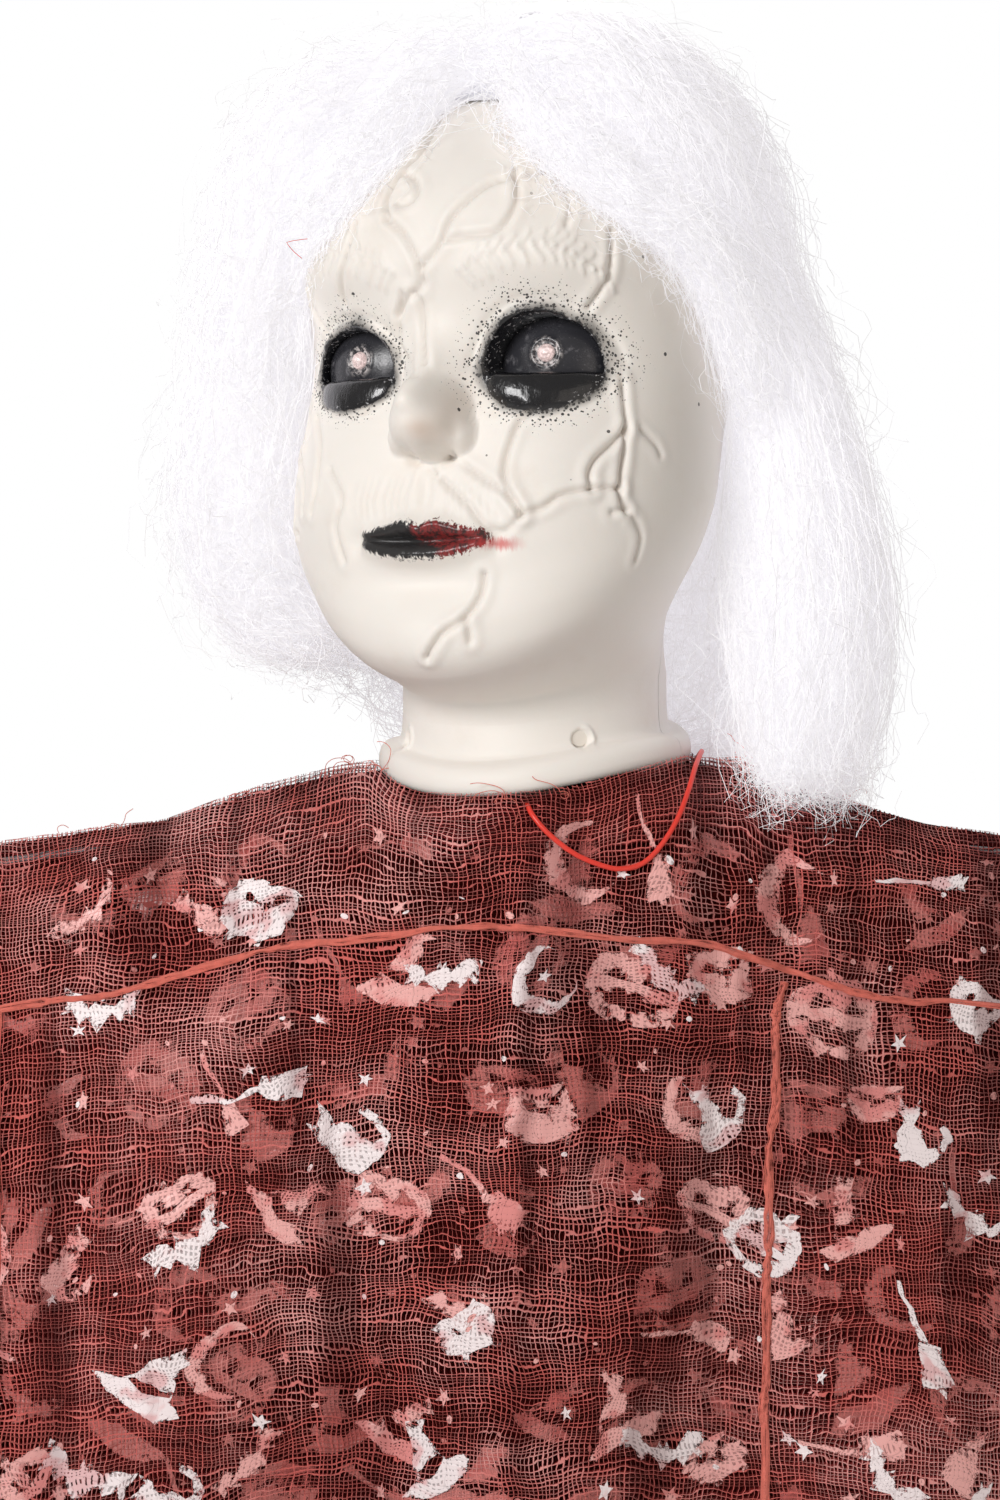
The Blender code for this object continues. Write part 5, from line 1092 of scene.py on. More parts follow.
class GHOST_OT_wig(bpy.types.Operator):
    """Builds the frizzy white wig from strands over a dense core"""

    bl_idname = "ghost.wig"
    bl_label = "Wig"

    def execute(self, context):
        settings = context.scene.ghost_hair
        material = hair_material(settings)
        for number, kind in enumerate(LOCKS):
            small = kind.startswith("front")
            if not small:
                core = hair_core(kind, material)
                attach(core, "head")
                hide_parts(f"hair_{kind}")
            share = 0.34 if small else 1.0
            long_count, short_count = int(settings.long_strands * share), int(settings.short_strands * share)
            width = settings.strand_width
            masses = {
                "long": (long_strands(kind, long_count, 18, 40 + number), width),
                "curled": (short_strands(kind, short_count, 12, 60 + number, (14, 42), 1.05), width * 0.8),
                "fuzz": (short_strands(kind, short_count * 2, 6, 80 + number, (4, 15), 1.12), width * 0.8),
            }
            for word, (points, wide) in masses.items():
                strands = strand_object(f"hair_{word}_{kind}", points, wide, material)
                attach(strands, "head")
        return {"FINISHED"}


# Gown

RIDGE = [(0, -16.0), (84, -16.0), (101, -19.8), (129, -24.0), (148, -26.6), (202, -34.6), (280, -48.0)]
COLLAR_LEFT = [(44, -3.4), (56, -5.2), (73, -9.8), (88, -15.0), (101, -19.4), (129, -24.0), (280, -48.0)]
COLLAR_RIGHT = [(44, -1.9), (56, -2.2), (70, -6.9), (90, -15.0), (112, -21.8), (129, -25.2), (148, -27.2)]
COLLAR_RIGHT += [(280, -48.0)]
GOWN_HALF = 280.0
GOWN_DROP = 700.0


def gown_shape(x, drop, facing, layer):
    """A point of a gown layer in torso millimetres: across, and down the cloth from its shoulder line."""
    side = np.abs(x)
    lining_top = np.interp(side, *zip(*RIDGE))
    collar = np.where(x < 0, np.interp(side, *zip(*COLLAR_LEFT)), np.interp(side, *zip(*COLLAR_RIGHT)))
    edge = np.sqrt(np.clip(1 - (side / NECK_OUT) ** 2, 0, 1))
    around = x * math.sin(-TURN) + facing * math.cos(TURN) * 43 * edge
    crest = layer["crest"] + 0.2 * around + 0.6 + 1.8 * ease((x - 6) / 20)
    gathered = ease(edge * 1.3)
    collar = np.where(side < NECK_OUT, collar + (crest - collar) * gathered, np.maximum(collar, lining_top + 0.5))
    rise = layer["rise"] + (1 - layer["rise"]) * gathered
    top = lining_top + (collar - lining_top) * rise
    hole = layer["hole"] * edge
    start = np.maximum(0.3, hole)
    near = 1 - ease((side - 19) / 114)
    front = 11.0 + 31.5 * near + layer["lift"]
    share = np.clip(drop / 30.0, 0, 1)
    turn = np.sin(share * math.pi / 2)
    down = drop / GOWN_DROP
    spread = (side / GOWN_HALF) ** 2
    hem = 30.0 - 10.0 * spread + layer["lift"]
    fallen = ease(down * 2.2)
    fold = 9.0 * ease(down * 3) * (1 - spread * spread) * np.cos(2 * math.pi * x / 105)
    reach = front + (hem - front) * fallen + fold
    y = start + np.maximum(reach - start, 0.0) * turn
    if layer["crease"]:
        crumple = wave_noise(x * 0.055, drop * 0.022, 0, layer["seed"], 3)
        fine = wave_noise(x * 0.20, drop * 0.06, 0, layer["seed"] + 3, 2)
        near_top = ease(drop / 14)
        y = y + layer["crease"] * near_top * (1.7 * np.maximum(crumple, -0.6) + 0.6 * fine + 1.1)
        pleat = bell(x + 10.5 - 0.02 * drop, 3.2) * ease((drop - 14) / 16) * (1 - ease((drop - 45) / 40))
        pleat += 1.3 * bell(x - 68, 3.5) * ease((drop - 8) / 14) * (1 - ease((drop - 46) / 14))
        y = y - layer["crease"] * 2.2 * pleat
        top = top + layer["crease"] * (1 - gathered) * (0.5 + np.maximum(wave_noise(x * 0.16, 0 * x, 5, 9, 3), -0.5))
    plain = -15.0 - 33.0 * (side / GOWN_HALF) ** 1.6
    top = top + (plain - top) * ease(drop / 32)
    z = top - np.maximum(drop - 8.1 * share, drop * 0.35 * (1 - share))
    return np.stack([x, facing * y, z], axis=-1)


LAYERS = {
    "lining": {"rise": 0.82, "crest": -5.2, "hole": 41.6, "lift": 0.2, "crease": 0.0, "seed": 1},
    "under": {"rise": 0.94, "crest": -4.4, "hole": 42.6, "lift": 1.2, "crease": 0.35, "seed": 2},
    "over": {"rise": 1.0, "crest": -3.5, "hole": 43.5, "lift": 2.3, "crease": 1.0, "seed": 4},
}


def gown_world(x, drop, facing, kind, proud=0.0):
    """A point of a gown layer in the frame's metres, stood proud of its cloth by some millimetres."""
    points = gown_shape(x, drop, facing, LAYERS[kind])
    if proud:
        step = 0.5
        a = gown_shape(x + step, drop, facing, LAYERS[kind]) - points
        b = gown_shape(x, drop + step, facing, LAYERS[kind]) - points
        normal = np.cross(a, b)
        normal /= np.maximum(np.linalg.norm(normal, axis=-1, keepdims=True), 1e-9)
        normal *= np.where(normal[..., 1:2] * facing < 0, -1, 1)
        points = points + normal * proud
    world = points * MM
    world[..., 2] += DATUM
    return world


def gown_sheet(name, kind, facing, columns, rows, material):
    xs = np.linspace(-GOWN_HALF, GOWN_HALF, columns + 1)
    share = np.linspace(0, 1, rows + 1)
    drops = GOWN_DROP * (0.55 * share + 0.45 * share**2.4)
    x, drop = np.meshgrid(xs, drops)
    ridge = np.interp(np.abs(x), *zip(*RIDGE))
    length = (GOWN_DROP + ridge + 16.0) / GOWN_DROP
    world = gown_world(x, drop * length, facing, kind)
    bm = bmesh.new()
    bmesh.ops.create_grid(bm, x_segments=columns, y_segments=rows, size=0.5)
    uv = bm.loops.layers.uv.new("cloth")
    places = world.reshape(-1, 3)
    cloth = np.stack([x, drop * length], axis=-1).reshape(-1, 2) * MM
    bm.verts.ensure_lookup_table()
    for index, vert in enumerate(bm.verts):
        vert.co = places[index]
    for face in bm.faces:
        for loop in face.loops:
            loop[uv].uv = cloth[loop.vert.index] + (0.0, 0.0 if facing < 0 else BACK_CLOTH)
    bm.normal_update()
    total = sum(face.normal.y for face in bm.faces)
    if total * facing < 0:
        bmesh.ops.reverse_faces(bm, faces=bm.faces)
    return mesh_object(name, bm, material)


def cloth_drop(tree, uv):
    """How far down its sheet a place of the cloth map lies, in metres."""
    split = tree.node("ShaderNodeSeparateXYZ", {"Vector": uv})
    return tree.math("MODULO", split.outputs[1], BACK_CLOTH)


def pleat_light(tree, uv, drop):
    """Painted light left on the cloth: less, as painted shade, in the narrow upright pleats and towards the hem."""
    pleat = tree.noise(tree.stretch(uv, (1, 0.09, 1)), 52.0, 2.0, 0.5)
    return tree.times(tree.ramp(pleat, 0.35, 0.50, 0.40, 1.0), tree.ramp(drop, 0.06, 0.32, 1.0, 0.84))


def gauze_material(name, settings, colour, thread, pale):
    """Open gauze: bare between its threads, each thread its own shade of red."""
    material, tree, shader = make_material(name)
    uv = tree.node("ShaderNodeUVMap", uv_map="cloth").outputs[0]
    weave = open_weave(tree, uv, settings.thread_pitch, thread, 0.5)
    blotch = tree.noise(uv, 26.0, 5.0, 0.6)
    dark = tuple(c * 0.5 for c in colour)
    shade = tree.mix(tree.ramp(weave["Shade"], 0.05, 0.6), dark, colour)
    shade = tree.mix(tree.ramp(blotch, 0.42, 0.68, 0.0, 0.7), shade, pale)
    drop = cloth_drop(tree, uv)
    # Painted shade: the threads darken towards near black in the pleats and towards the hem.
    tree.feed(shader["Base Color"], tree.mix(pleat_light(tree, uv, drop), (0.03, 0.001, 0.001), shade))
    shader["Roughness"].default_value = 0.85
    shader["Specular IOR Level"].default_value = 0.15
    shader["Sheen Weight"].default_value = 0.1
    tree.bump(shader, weave["Height"], 0.5, 0.0003)
    torn = tree.noise(tree.stretch(uv, (1, 0.25, 1)), 45.0, 4.0, 0.7)
    hem = tree.scaled(torn, -0.07, GOWN_DROP * MM + 0.022)
    ragged = tree.math("LESS_THAN", drop, hem)
    tree.feed(shader["Alpha"], tree.times(weave["Mask"], ragged))
    return material


def print_material(name, settings, colour, cover, whole):
    """Foil print that lies on the threads of the gauze and has flaked off in patches: whole is how much is left."""
    material, tree, shader = make_material(name)
    uv = tree.node("ShaderNodeUVMap", uv_map="cloth").outputs[0]
    weave = open_weave(tree, uv, settings.thread_pitch, cover, 0.5)
    inner = tree.attribute("inner")
    worn = tree.scaled(inner, 0.17, -0.17)
    crumbs = tree.plus(tree.noise(uv, 420.0, 6.0, 0.75), worn)
    flake = tree.ramp(crumbs, 0.46 - 0.2 * whole, 0.54 - 0.2 * whole)
    patch = tree.ramp(tree.noise(uv, 70.0, 3.0), 0.54 - 0.16 * whole, 0.62 - 0.16 * whole)
    wrinkle = tree.math("ABSOLUTE", tree.minus(tree.noise(uv, 150.0, 1.0), 0.5))
    creased = tree.ramp(wrinkle, 0.004, 0.012, 0.8, 1.0)
    keep = tree.most(tree.times(patch, 0.5), tree.times(weave["Mask"], 0.95))
    cover_all = tree.times(tree.times(creased, flake), keep)
    faded = (colour[0] * 0.86, colour[1] * 0.60, colour[2] * 0.60)
    # Painted shade: the prints darken in the pleats and towards the hem.
    lit = pleat_light(tree, uv, cloth_drop(tree, uv))
    tree.feed(shader["Base Color"], tree.mix(lit, (0.16, 0.02, 0.016), tree.mix(patch, faded, colour)))
    tree.feed(shader["Roughness"], tree.ramp(patch, 0.0, 1.0, 0.6, 0.35))
    tree.feed(shader["Alpha"], cover_all)
    tree.bump(shader, weave["Height"], 0.4, 0.0002)
    return material


def lining_material(settings):
    material, tree, shader = make_material("black_lining_cloth")
    uv = tree.node("ShaderNodeUVMap", uv_map="cloth").outputs[0]
    weave = open_weave(tree, uv, 0.0007, 0.9, 0.2)
    shade = tree.mix(weave["Shade"], settings.lining, tuple(c * 1.8 for c in settings.lining))
    tree.feed(shader["Base Color"], shade)
    shader["Roughness"].default_value = 0.95
    shader["Specular IOR Level"].default_value = 0.06
    tree.bump(shader, weave["Height"], 0.4, 0.0002)
    return material


def circle(radius, count, x=0.0, y=0.0):
    turns = [2 * math.pi * k / count for k in range(count)]
    return [(x + radius * math.cos(a), y + radius * math.sin(a)) for a in turns]


def star(points, inner, outer):
    turns = [(outer if k % 2 == 0 else inner, math.pi / 2 + math.pi * k / points) for k in range(2 * points)]
    return [(r * math.cos(a), r * math.sin(a)) for r, a in turns]


def crescent():
    outer = [(math.cos(a), math.sin(a)) for a in np.linspace(0.7, 5.58, 22)]
    inner = [(0.32 + 0.78 * math.cos(a), 0.78 * math.sin(a)) for a in np.linspace(5.35, 0.93, 16)]
    return [outer + inner]


# Printed figures, each a list of closed outlines about one unit across; inner outlines are left bare
FIGURES = {
    "moon": crescent(),
    "pumpkin": [
        [(-0.1, 0.72), (-0.16, 1.0), (0.06, 1.05), (0.1, 0.74), (0.45, 0.78), (0.82, 0.55), (0.98, 0.1), (0.86, -0.42),
         (0.5, -0.74), (0.12, -0.8), (0.0, -0.72), (-0.12, -0.8), (-0.5, -0.74), (-0.86, -0.42), (-0.98, 0.1),
         (-0.82, 0.55), (-0.45, 0.78)],
        [(-0.52, 0.12), (-0.34, 0.44), (-0.16, 0.12)],
        [(0.16, 0.12), (0.34, 0.44), (0.52, 0.12)],
        [(-0.62, -0.14), (-0.38, -0.26), (-0.24, -0.14), (-0.06, -0.28), (0.12, -0.16), (0.28, -0.28), (0.44, -0.18),
         (0.62, -0.12), (0.42, -0.46), (0.0, -0.58), (-0.42, -0.46)],
    ],
    "bat": [
        [(0, 0.22), (0.08, 0.36), (0.14, 0.2), (0.3, 0.12), (0.55, 0.42), (1.0, 0.5), (0.86, 0.2), (0.9, -0.12),
         (0.66, 0.0), (0.5, -0.22), (0.32, -0.08), (0.14, -0.3), (0, -0.5), (-0.14, -0.3), (-0.32, -0.08),
         (-0.5, -0.22), (-0.66, 0.0), (-0.9, -0.12), (-0.86, 0.2), (-1.0, 0.5), (-0.55, 0.42), (-0.3, 0.12),
         (-0.14, 0.2), (-0.08, 0.36)],
    ],
    "broom": [
        [(-0.95, 0.62), (-0.88, 0.72), (0.12, 0.02), (0.3, 0.12), (0.96, -0.3), (0.86, -0.44), (0.98, -0.56),
         (0.74, -0.62), (0.62, -0.78), (0.1, -0.22), (0.04, -0.06)],
    ],
    "hat": [
        [(-1.0, -0.5), (-0.55, -0.34), (-0.2, 0.3), (0.1, 0.92), (0.52, 0.66), (0.3, 0.52), (0.36, 0.1), (0.5, -0.32),
         (1.0, -0.42), (0.6, -0.7), (0.0, -0.8), (-0.6, -0.72)],
        [(-0.42, -0.28), (-0.34, -0.12), (0.4, -0.1), (0.44, -0.26), (0.0, -0.36)],
    ],
    "cauldron": [
        [(-0.78, 0.42), (-0.84, 0.58), (0.84, 0.58), (0.78, 0.42), (0.9, 0.0), (0.78, -0.44), (0.5, -0.66),
         (0.56, -0.88), (0.4, -0.86), (0.32, -0.74), (-0.32, -0.74), (-0.4, -0.86), (-0.56, -0.88), (-0.5, -0.66),
         (-0.78, -0.44), (-0.9, 0.0)],
        circle(0.13, 9, -0.3, 0.14),
        circle(0.09, 8, 0.16, 0.02),
        circle(0.12, 9, 0.42, 0.2),
    ],
    "cat": [
        [(-0.34, -0.9), (-0.42, -0.5), (-0.3, 0.0), (-0.4, 0.34), (-0.44, 0.72), (-0.26, 0.56), (-0.08, 0.58),
         (0.06, 0.76), (0.1, 0.4), (0.04, 0.14), (0.26, -0.1), (0.36, -0.5), (0.58, -0.56), (0.72, -0.3),
         (0.64, 0.04), (0.78, 0.14), (0.9, -0.24), (0.78, -0.66), (0.5, -0.86), (0.3, -0.92)],
    ],
    "star": [star(5, 0.42, 1.0)],
    "dot": [circle(1.0, 9)],
}


def figure_mesh(name):
    """One printed figure as a flat triangle mesh in figure units, from a filled curve."""
    curve = bpy.data.curves.new(f"figure_{name}", "CURVE")
    curve.dimensions = "2D"
    curve.fill_mode = "BOTH"
    for outline in FIGURES[name]:
        spline = curve.splines.new("POLY")
        spline.points.add(len(outline) - 1)
        for point, (x, y) in zip(spline.points, outline):
            point.co = (x, y, 0, 1)
        spline.use_cyclic_u = True
    obj = bpy.data.objects.new(f"figure_{name}", curve)
    mesh = bpy.data.meshes.new_from_object(obj)
    bpy.data.objects.remove(obj)
    bpy.data.curves.remove(curve)
    return mesh


def print_places(seed, share, pitch):
    """Where figures lie on the cloth: kind, across, down, half size and turn. share is how many places have one."""
    rng = random.Random(seed)
    sizes = {"moon": 9.6, "pumpkin": 11.2, "bat": 12.0, "broom": 13.0, "hat": 12.0, "cauldron": 9.8, "cat": 11.8}
    big = list(sizes)
    places = []
    for row in range(int(GOWN_DROP / pitch)):
        for column in range(int(2 * GOWN_HALF / pitch)):
            x = -GOWN_HALF + pitch * (column + 0.5 + (row % 2) * 0.5) + rng.uniform(-7, 7)
            drop = 16 + pitch * (row + 0.3) + rng.uniform(-7, 7)
            kind = big[(column * 3 + row * 2 + rng.randrange(3)) % len(big)]
            size, turn, chance = sizes[kind] * rng.uniform(0.85, 1.15), rng.uniform(-0.9, 0.9), rng.random()
            if chance < share and abs(x) < GOWN_HALF - 14 and drop < GOWN_DROP - 44:
                places.append((kind, x, drop, size, turn))
            for _ in range(3):
                sx, sd = x + rng.uniform(-18, 18), drop + rng.uniform(-18, 18)
                kind = "star" if rng.random() < 0.4 else "dot"
                size = rng.uniform(1.8, 2.6) if kind == "star" else rng.uniform(0.6, 0.9)
                chance = rng.random()
                if chance < share and abs(sx) < GOWN_HALF - 8 and 12 < sd < GOWN_DROP - 36:
                    places.append((kind, sx, sd, size, rng.uniform(0, 1.2)))
    return places


def print_object(name, kind, facing, places, material, proud, fine):
    """All the printed figures of one layer, laid on its cloth."""
    figures = {key: figure_mesh(key) for key in FIGURES}
    bm = bmesh.new()
    uv = bm.loops.layers.uv.new("cloth")
    inner = bm.verts.layers.float.new("inner")
    for figure, x0, drop0, size, turn in places:
        before = len(bm.verts)
        bm.from_mesh(figures[figure])
        bm.verts.ensure_lookup_table()
        new = bm.verts[before:]
        c, s = math.cos(turn), math.sin(turn)
        for vert in new:
            x, y = vert.co.x * size, vert.co.y * size
            vert.co = ((x0 + x * c - y * s) * MM, -(drop0 - (x * s + y * c)) * MM, 0)
            vert[inner] = 1.0 if figure in ("star", "dot") else 0.0
    for longest in (0.006, 1.3 * fine, fine):
        long_edges = [edge for edge in bm.edges if edge.calc_length() > longest]
        bmesh.ops.subdivide_edges(bm, edges=long_edges, cuts=1)
    bmesh.ops.triangulate(bm, faces=bm.faces)
    for vert in bm.verts:
        vert[inner] = 1.0 if vert[inner] > 0.5 or not vert.is_boundary else 0.0
    flat = np.array([(vert.co.x, -vert.co.y) for vert in bm.verts]) / MM
    seeds = ((0.16, 5), (0.16, 6), (0.6, 7), (0.6, 8))
    bend = [wave_noise(flat[:, 0] * f, flat[:, 1] * f, 0, seed, 3) for f, seed in seeds]
    flat[:, 0] += 2.4 * bend[0] + 1.2 * bend[2]
    flat[:, 1] += 2.4 * bend[1] + 1.2 * bend[3]
    for face in bm.faces:
        for loop in face.loops:
            loop[uv].uv = (loop.vert.co.x, -loop.vert.co.y + (0.0 if facing < 0 else BACK_CLOTH))
    world = gown_world(flat[:, 0], flat[:, 1], facing, kind, proud)
    for vert, place in zip(bm.verts, world):
        vert.co = place
    bm.normal_update()
    flip = [face for face in bm.faces if face.normal.y * facing < 0]
    bmesh.ops.reverse_faces(bm, faces=flip)
    for mesh in figures.values():
        bpy.data.meshes.remove(mesh)
    return mesh_object(name, bm, material)


def cloth_seam(name, route, facing, width, material):
    """A flat ragged band of gathered threads that follows the cloth: route is across and down, in millimetres."""
    strands = 8
    middle = smooth_line([(x, d, 0) for x, d in route], 2.2)[:, :2]
    run = np.gradient(middle, axis=0)
    aside = np.stack([-run[:, 1], run[:, 0]], axis=-1) / np.linalg.norm(run, axis=1, keepdims=True)
    along = np.arange(len(middle)) * 0.66
    still = np.zeros_like(along)
    spread = width * (1 + 0.5 * wave_noise(along * 0.5, still, 1, 4, 3))
    lines, sizes = [], []
    for k in range(strands):
        place = (k / (strands - 1) - 0.5) * spread + 0.25 * wave_noise(along * 1.5, still, k, 7, 3)
        line = middle + aside * (place + 0.4 * wave_noise(along * 0.8, still, 3, 11, 3))[:, None]
        proud = 0.35 + 0.3 * math.sin(math.pi * k / (strands - 1))
        lines.append(gown_world(line[:, 0], line[:, 1], facing, "over", proud))
        sizes.append(np.clip(1 + 0.9 * wave_noise(along * 2.3, still, k, 9, 2), 0.3, 1.7))
    return tube_object(name, lines, 0.00021, material, 0, sizes)


def tube_object(name, lines, radius, material, resolution, sizes=None):
    """Round tubes along lines of points, as one object."""
    curve = bpy.data.curves.new(name, "CURVE")
    curve.dimensions = "3D"
    curve.bevel_depth = radius
    curve.bevel_resolution = resolution
    curve.use_fill_caps = True
    for number, points in enumerate(lines):
        spline = curve.splines.new("POLY")
        spline.points.add(len(points) - 1)
        for point, place in zip(spline.points, points):
            point.co = (*place, 1)
        if sizes is not None:
            spline.points.foreach_set("radius", sizes[number])
    curve.materials.append(material)
    return link(bpy.data.objects.new(name, curve))


def seam_material(settings):
    material, tree, shader = make_material("seam_casing")
    coords = tree.object_coords()
    grain = surface_grain(tree, coords, settings.seam, 300.0, 0.9)
    tree.feed(shader["Base Color"], grain["Colour"])
    shader["Roughness"].default_value = 0.85
    tree.bump(shader, grain["Height"], 0.8, 0.0005)
    return material


# Seams on the front of the cloth, as places in the picture
YOKE_SEAM = [(0, 1009), (57, 1001), (105, 995), (143, 984), (189, 972), (253, 954), (295, 944), (357, 940), (446, 927),
             (510, 927), (575, 934), (638, 940), (701, 943), (765, 962), (815, 979), (863, 994), (910, 1001),
              (1000, 1006)]
SIDE_SEAM = [(784, 983), (776, 1011), (775, 1030), (777, 1100), (769, 1150), (769, 1239), (766, 1284), (767, 1373),
             (763, 1418), (766, 1500)]


def cloth_place(spot):
    """Across and down on the front of the gown for a place in the picture."""
    x = (spot[0] - PICTURE_MIDDLE[0]) * PIXEL + CAMERA_AIM
    drops = np.linspace(0, 400, 801)
    for _ in range(6):
        points = gown_world(np.full(len(drops), x), drops, -1, "over")
        seen = photo_place(points)
        best = int(np.argmin(np.abs(seen[:, 1] - spot[1])))
        x += (spot[0] - seen[best, 0]) * PIXEL * 0.9
    return x, drops[best]


# Where loose threads start, as places in the picture, by the body that carries them: place, length, how many
THREAD_ENDS = {
    "torso": [((352, 752), 16, 3), ((382, 748), 14, 3), ((240, 792), 10, 2), ((120, 830), 9, 2), ((742, 757), 12, 2),
              ((850, 800), 9, 2), ((505, 800), 13, 4), ((560, 792), 10, 2), ((60, 838), 8, 1), ((940, 828), 8, 1)],
    "head": [((318, 267), 13, 1)],
}
HAIR_THREAD_Y = -66.0


def loose_threads(body, places, material):
    """Single red threads that curl up off the cloth, and the one caught in the hair."""
    rng = np.random.default_rng(31)
    lines = []
    for spot, length, count in places:
        for _ in range(count):
            steps = 14
            turn, heading = rng.uniform(-0.3, 0.3), rng.uniform(0.6, 2.5)
            if body == "torso":
                across, down = cloth_place(spot)
                start = gown_world(np.array([across]), np.array([max(down, 1.0)]), -1, "over", 0.2)[0] / MM
            else:
                heading, turn = 3.3, 0.0
                across = (spot[0] - PICTURE_MIDDLE[0]) * PIXEL + CAMERA_AIM
                start = np.array([across, HAIR_THREAD_Y, (PICTURE_MIDDLE[1] - spot[1]) * PIXEL + DATUM / MM])
            line = [start]
            for k in range(steps):
                if body == "head" and k == 6:
                    heading += 1.6
                turn += rng.normal(0, 0.12) if body == "torso" else rng.normal(0, 0.01)
                heading += turn
                step = length / steps
                move = (step * math.cos(heading), rng.normal(0, 0.25) * step, step * math.sin(heading) * 0.7)
                line.append(line[-1] + move)
            lines.append(np.array(line) * MM)
    return tube_object(f"loose_threads_{body}", lines, 0.00010, material, 1)


class GHOST_OT_gown(bpy.types.Operator):
    """Builds the lining, two layers of printed gauze, the seams and the loose threads"""

    bl_idname = "ghost.gown"
    bl_label = "Gown"

    def execute(self, context):
        settings = context.scene.ghost_gown
        gauze = tuple(settings.gauze)
        over = gauze_material("over_gauze", settings, gauze, 0.17, (0.94, 0.50, 0.47))
        under = gauze_material("under_gauze", settings, (0.13, 0.006, 0.006), 0.22, (0.40, 0.05, 0.05))
        lining = lining_material(settings)
        # The white prints are the silvery foil with a painted highlight, its glare painted into the colour.
        white = print_material("foil_glare_white", settings, tuple(settings.foil), 0.7, 0.85)
        pink = print_material("foil_pink", settings, (0.92, 0.46, 0.43), 0.64, 0.7)
        red = print_material("foil_red", settings, (0.62, 0.19, 0.17), 0.7, 0.75)
        seam = seam_material(settings)
        for word, facing in (("front", -1), ("back", 1)):
            black = gown_sheet(f"gown_lining_{word}", "lining", facing, 90, 100, lining)
            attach(black, "torso")
            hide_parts(f"robe_lining_{word}")
            low = gown_sheet(f"gown_under_gauze_{word}", "under", facing, 110, 120, under)
            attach(low, "torso")
            top = gown_sheet(f"gown_over_gauze_{word}", "over", facing, 150, 170, over)
            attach(top, "torso")
            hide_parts(f"robe_gauze_{word}")
            layers = {
                "white": ("over", white, print_places(11 + facing, 0.40, 31.0), 0.3, 0.0035),
                "pink": ("over", pink, print_places(57 + facing, 0.70, 30.0), 0.15, 0.0045),
                "red": ("under", red, print_places(83 + facing, 0.86, 28.0), 0.3, 0.006),
            }
            for label, (kind, material, places, proud, fine) in layers.items():
                figures = print_object(f"prints_{label}_{word}", kind, facing, places, material, proud, fine)
                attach(figures, "torso")
            yoke = [cloth_place(spot) for spot in YOKE_SEAM]
            ends = [(-275, yoke[0][1] + 6), (-215, yoke[0][1] + 4)]
            yoke = ends + yoke + [(215, yoke[-1][1] + 4), (275, yoke[-1][1] + 6)]
            side = [cloth_place(spot) for spot in SIDE_SEAM]
            down = side + [(side[-1][0], 400), (side[-1][0] - 1, 520), (side[-1][0], 640)]
            other = [(-146, yoke[3][1])] + [(-146 - 0.6 * math.sin(k), yoke[3][1] + 60 * k) for k in range(1, 10)]
            routes = {"yoke": (yoke, 1.5), "side_right": (down, 1.9), "side_left": (other, 1.9)}
            for label, (route, width) in routes.items():
                made = cloth_seam(f"seam_{label}_{word}", route, facing, width, seam)
                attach(made, "torso")
        for body, places in THREAD_ENDS.items():
            loose = loose_threads(body, places, seam)
            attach(loose, body)
        return {"FINISHED"}


# Red lead

LEAD_ROUTE = [
    (-8.0, -4.0, -37.6), (-7.8, -7.5, -33.5), (-6.5, -15.0, -29.0), (-4.5, -22.5, -25.5), (-3.5, -26.5, -21.0),
    (-3.2, -28.5, -16.8), (-3.0, -32.5, -14.6), (-2.7, -37.5, -14.3), (-2.2, -42.5, -14.7), (-1.0, -46.2, -17.2),
    (3.1, -47.6, -22.0), (10.2, -47.6, -27.5), (18.2, -46.8, -30.8), (22.9, -46.0, -31.4), (27.7, -44.8, -30.3),
    (32.4, -43.4, -26.2), (37.2, -41.0, -19.0), (40.5, -37.0, -11.2), (42.8, -28.5, -4.6), (44.8, -15.0, -1.2),
    (45.8, 0.0, -0.4), (44.6, 13.0, -3.0), (40.8, 24.0, -9.2), (34.5, 29.5, -13.4), (27.5, 29.2, -14.0),
    (22.5, 26.2, -16.8), (21.0, 24.5, -23.5),
]


class GHOST_OT_lead(bpy.types.Operator):
    """Lays the red lead from the battery box out under the neck and back in"""

    bl_idname = "ghost.lead"
    bl_label = "Red lead"

    def execute(self, context):
        material, tree, shader = make_material("red_sheath")
        coords = tree.object_coords()
        grain = surface_grain(tree, coords, (0.78, 0.045, 0.028), 220.0, 0.25)
        tree.feed(shader["Base Color"], grain["Colour"])
        tree.feed(shader["Roughness"], tree.ramp(grain["Share"], 0.2, 0.8, 0.28, 0.45, False))
        tree.bump(shader, grain["Height"], 0.2, 0.0001)
        points = smooth_line(LEAD_ROUTE, 3.0) * MM + (0, 0, DATUM)
        lead = tube_object("red_lead_wire", [points], 0.0007, material, 4)
        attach(lead, "torso")
        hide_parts("red_lead")
        return {"FINISHED"}


# Hardware

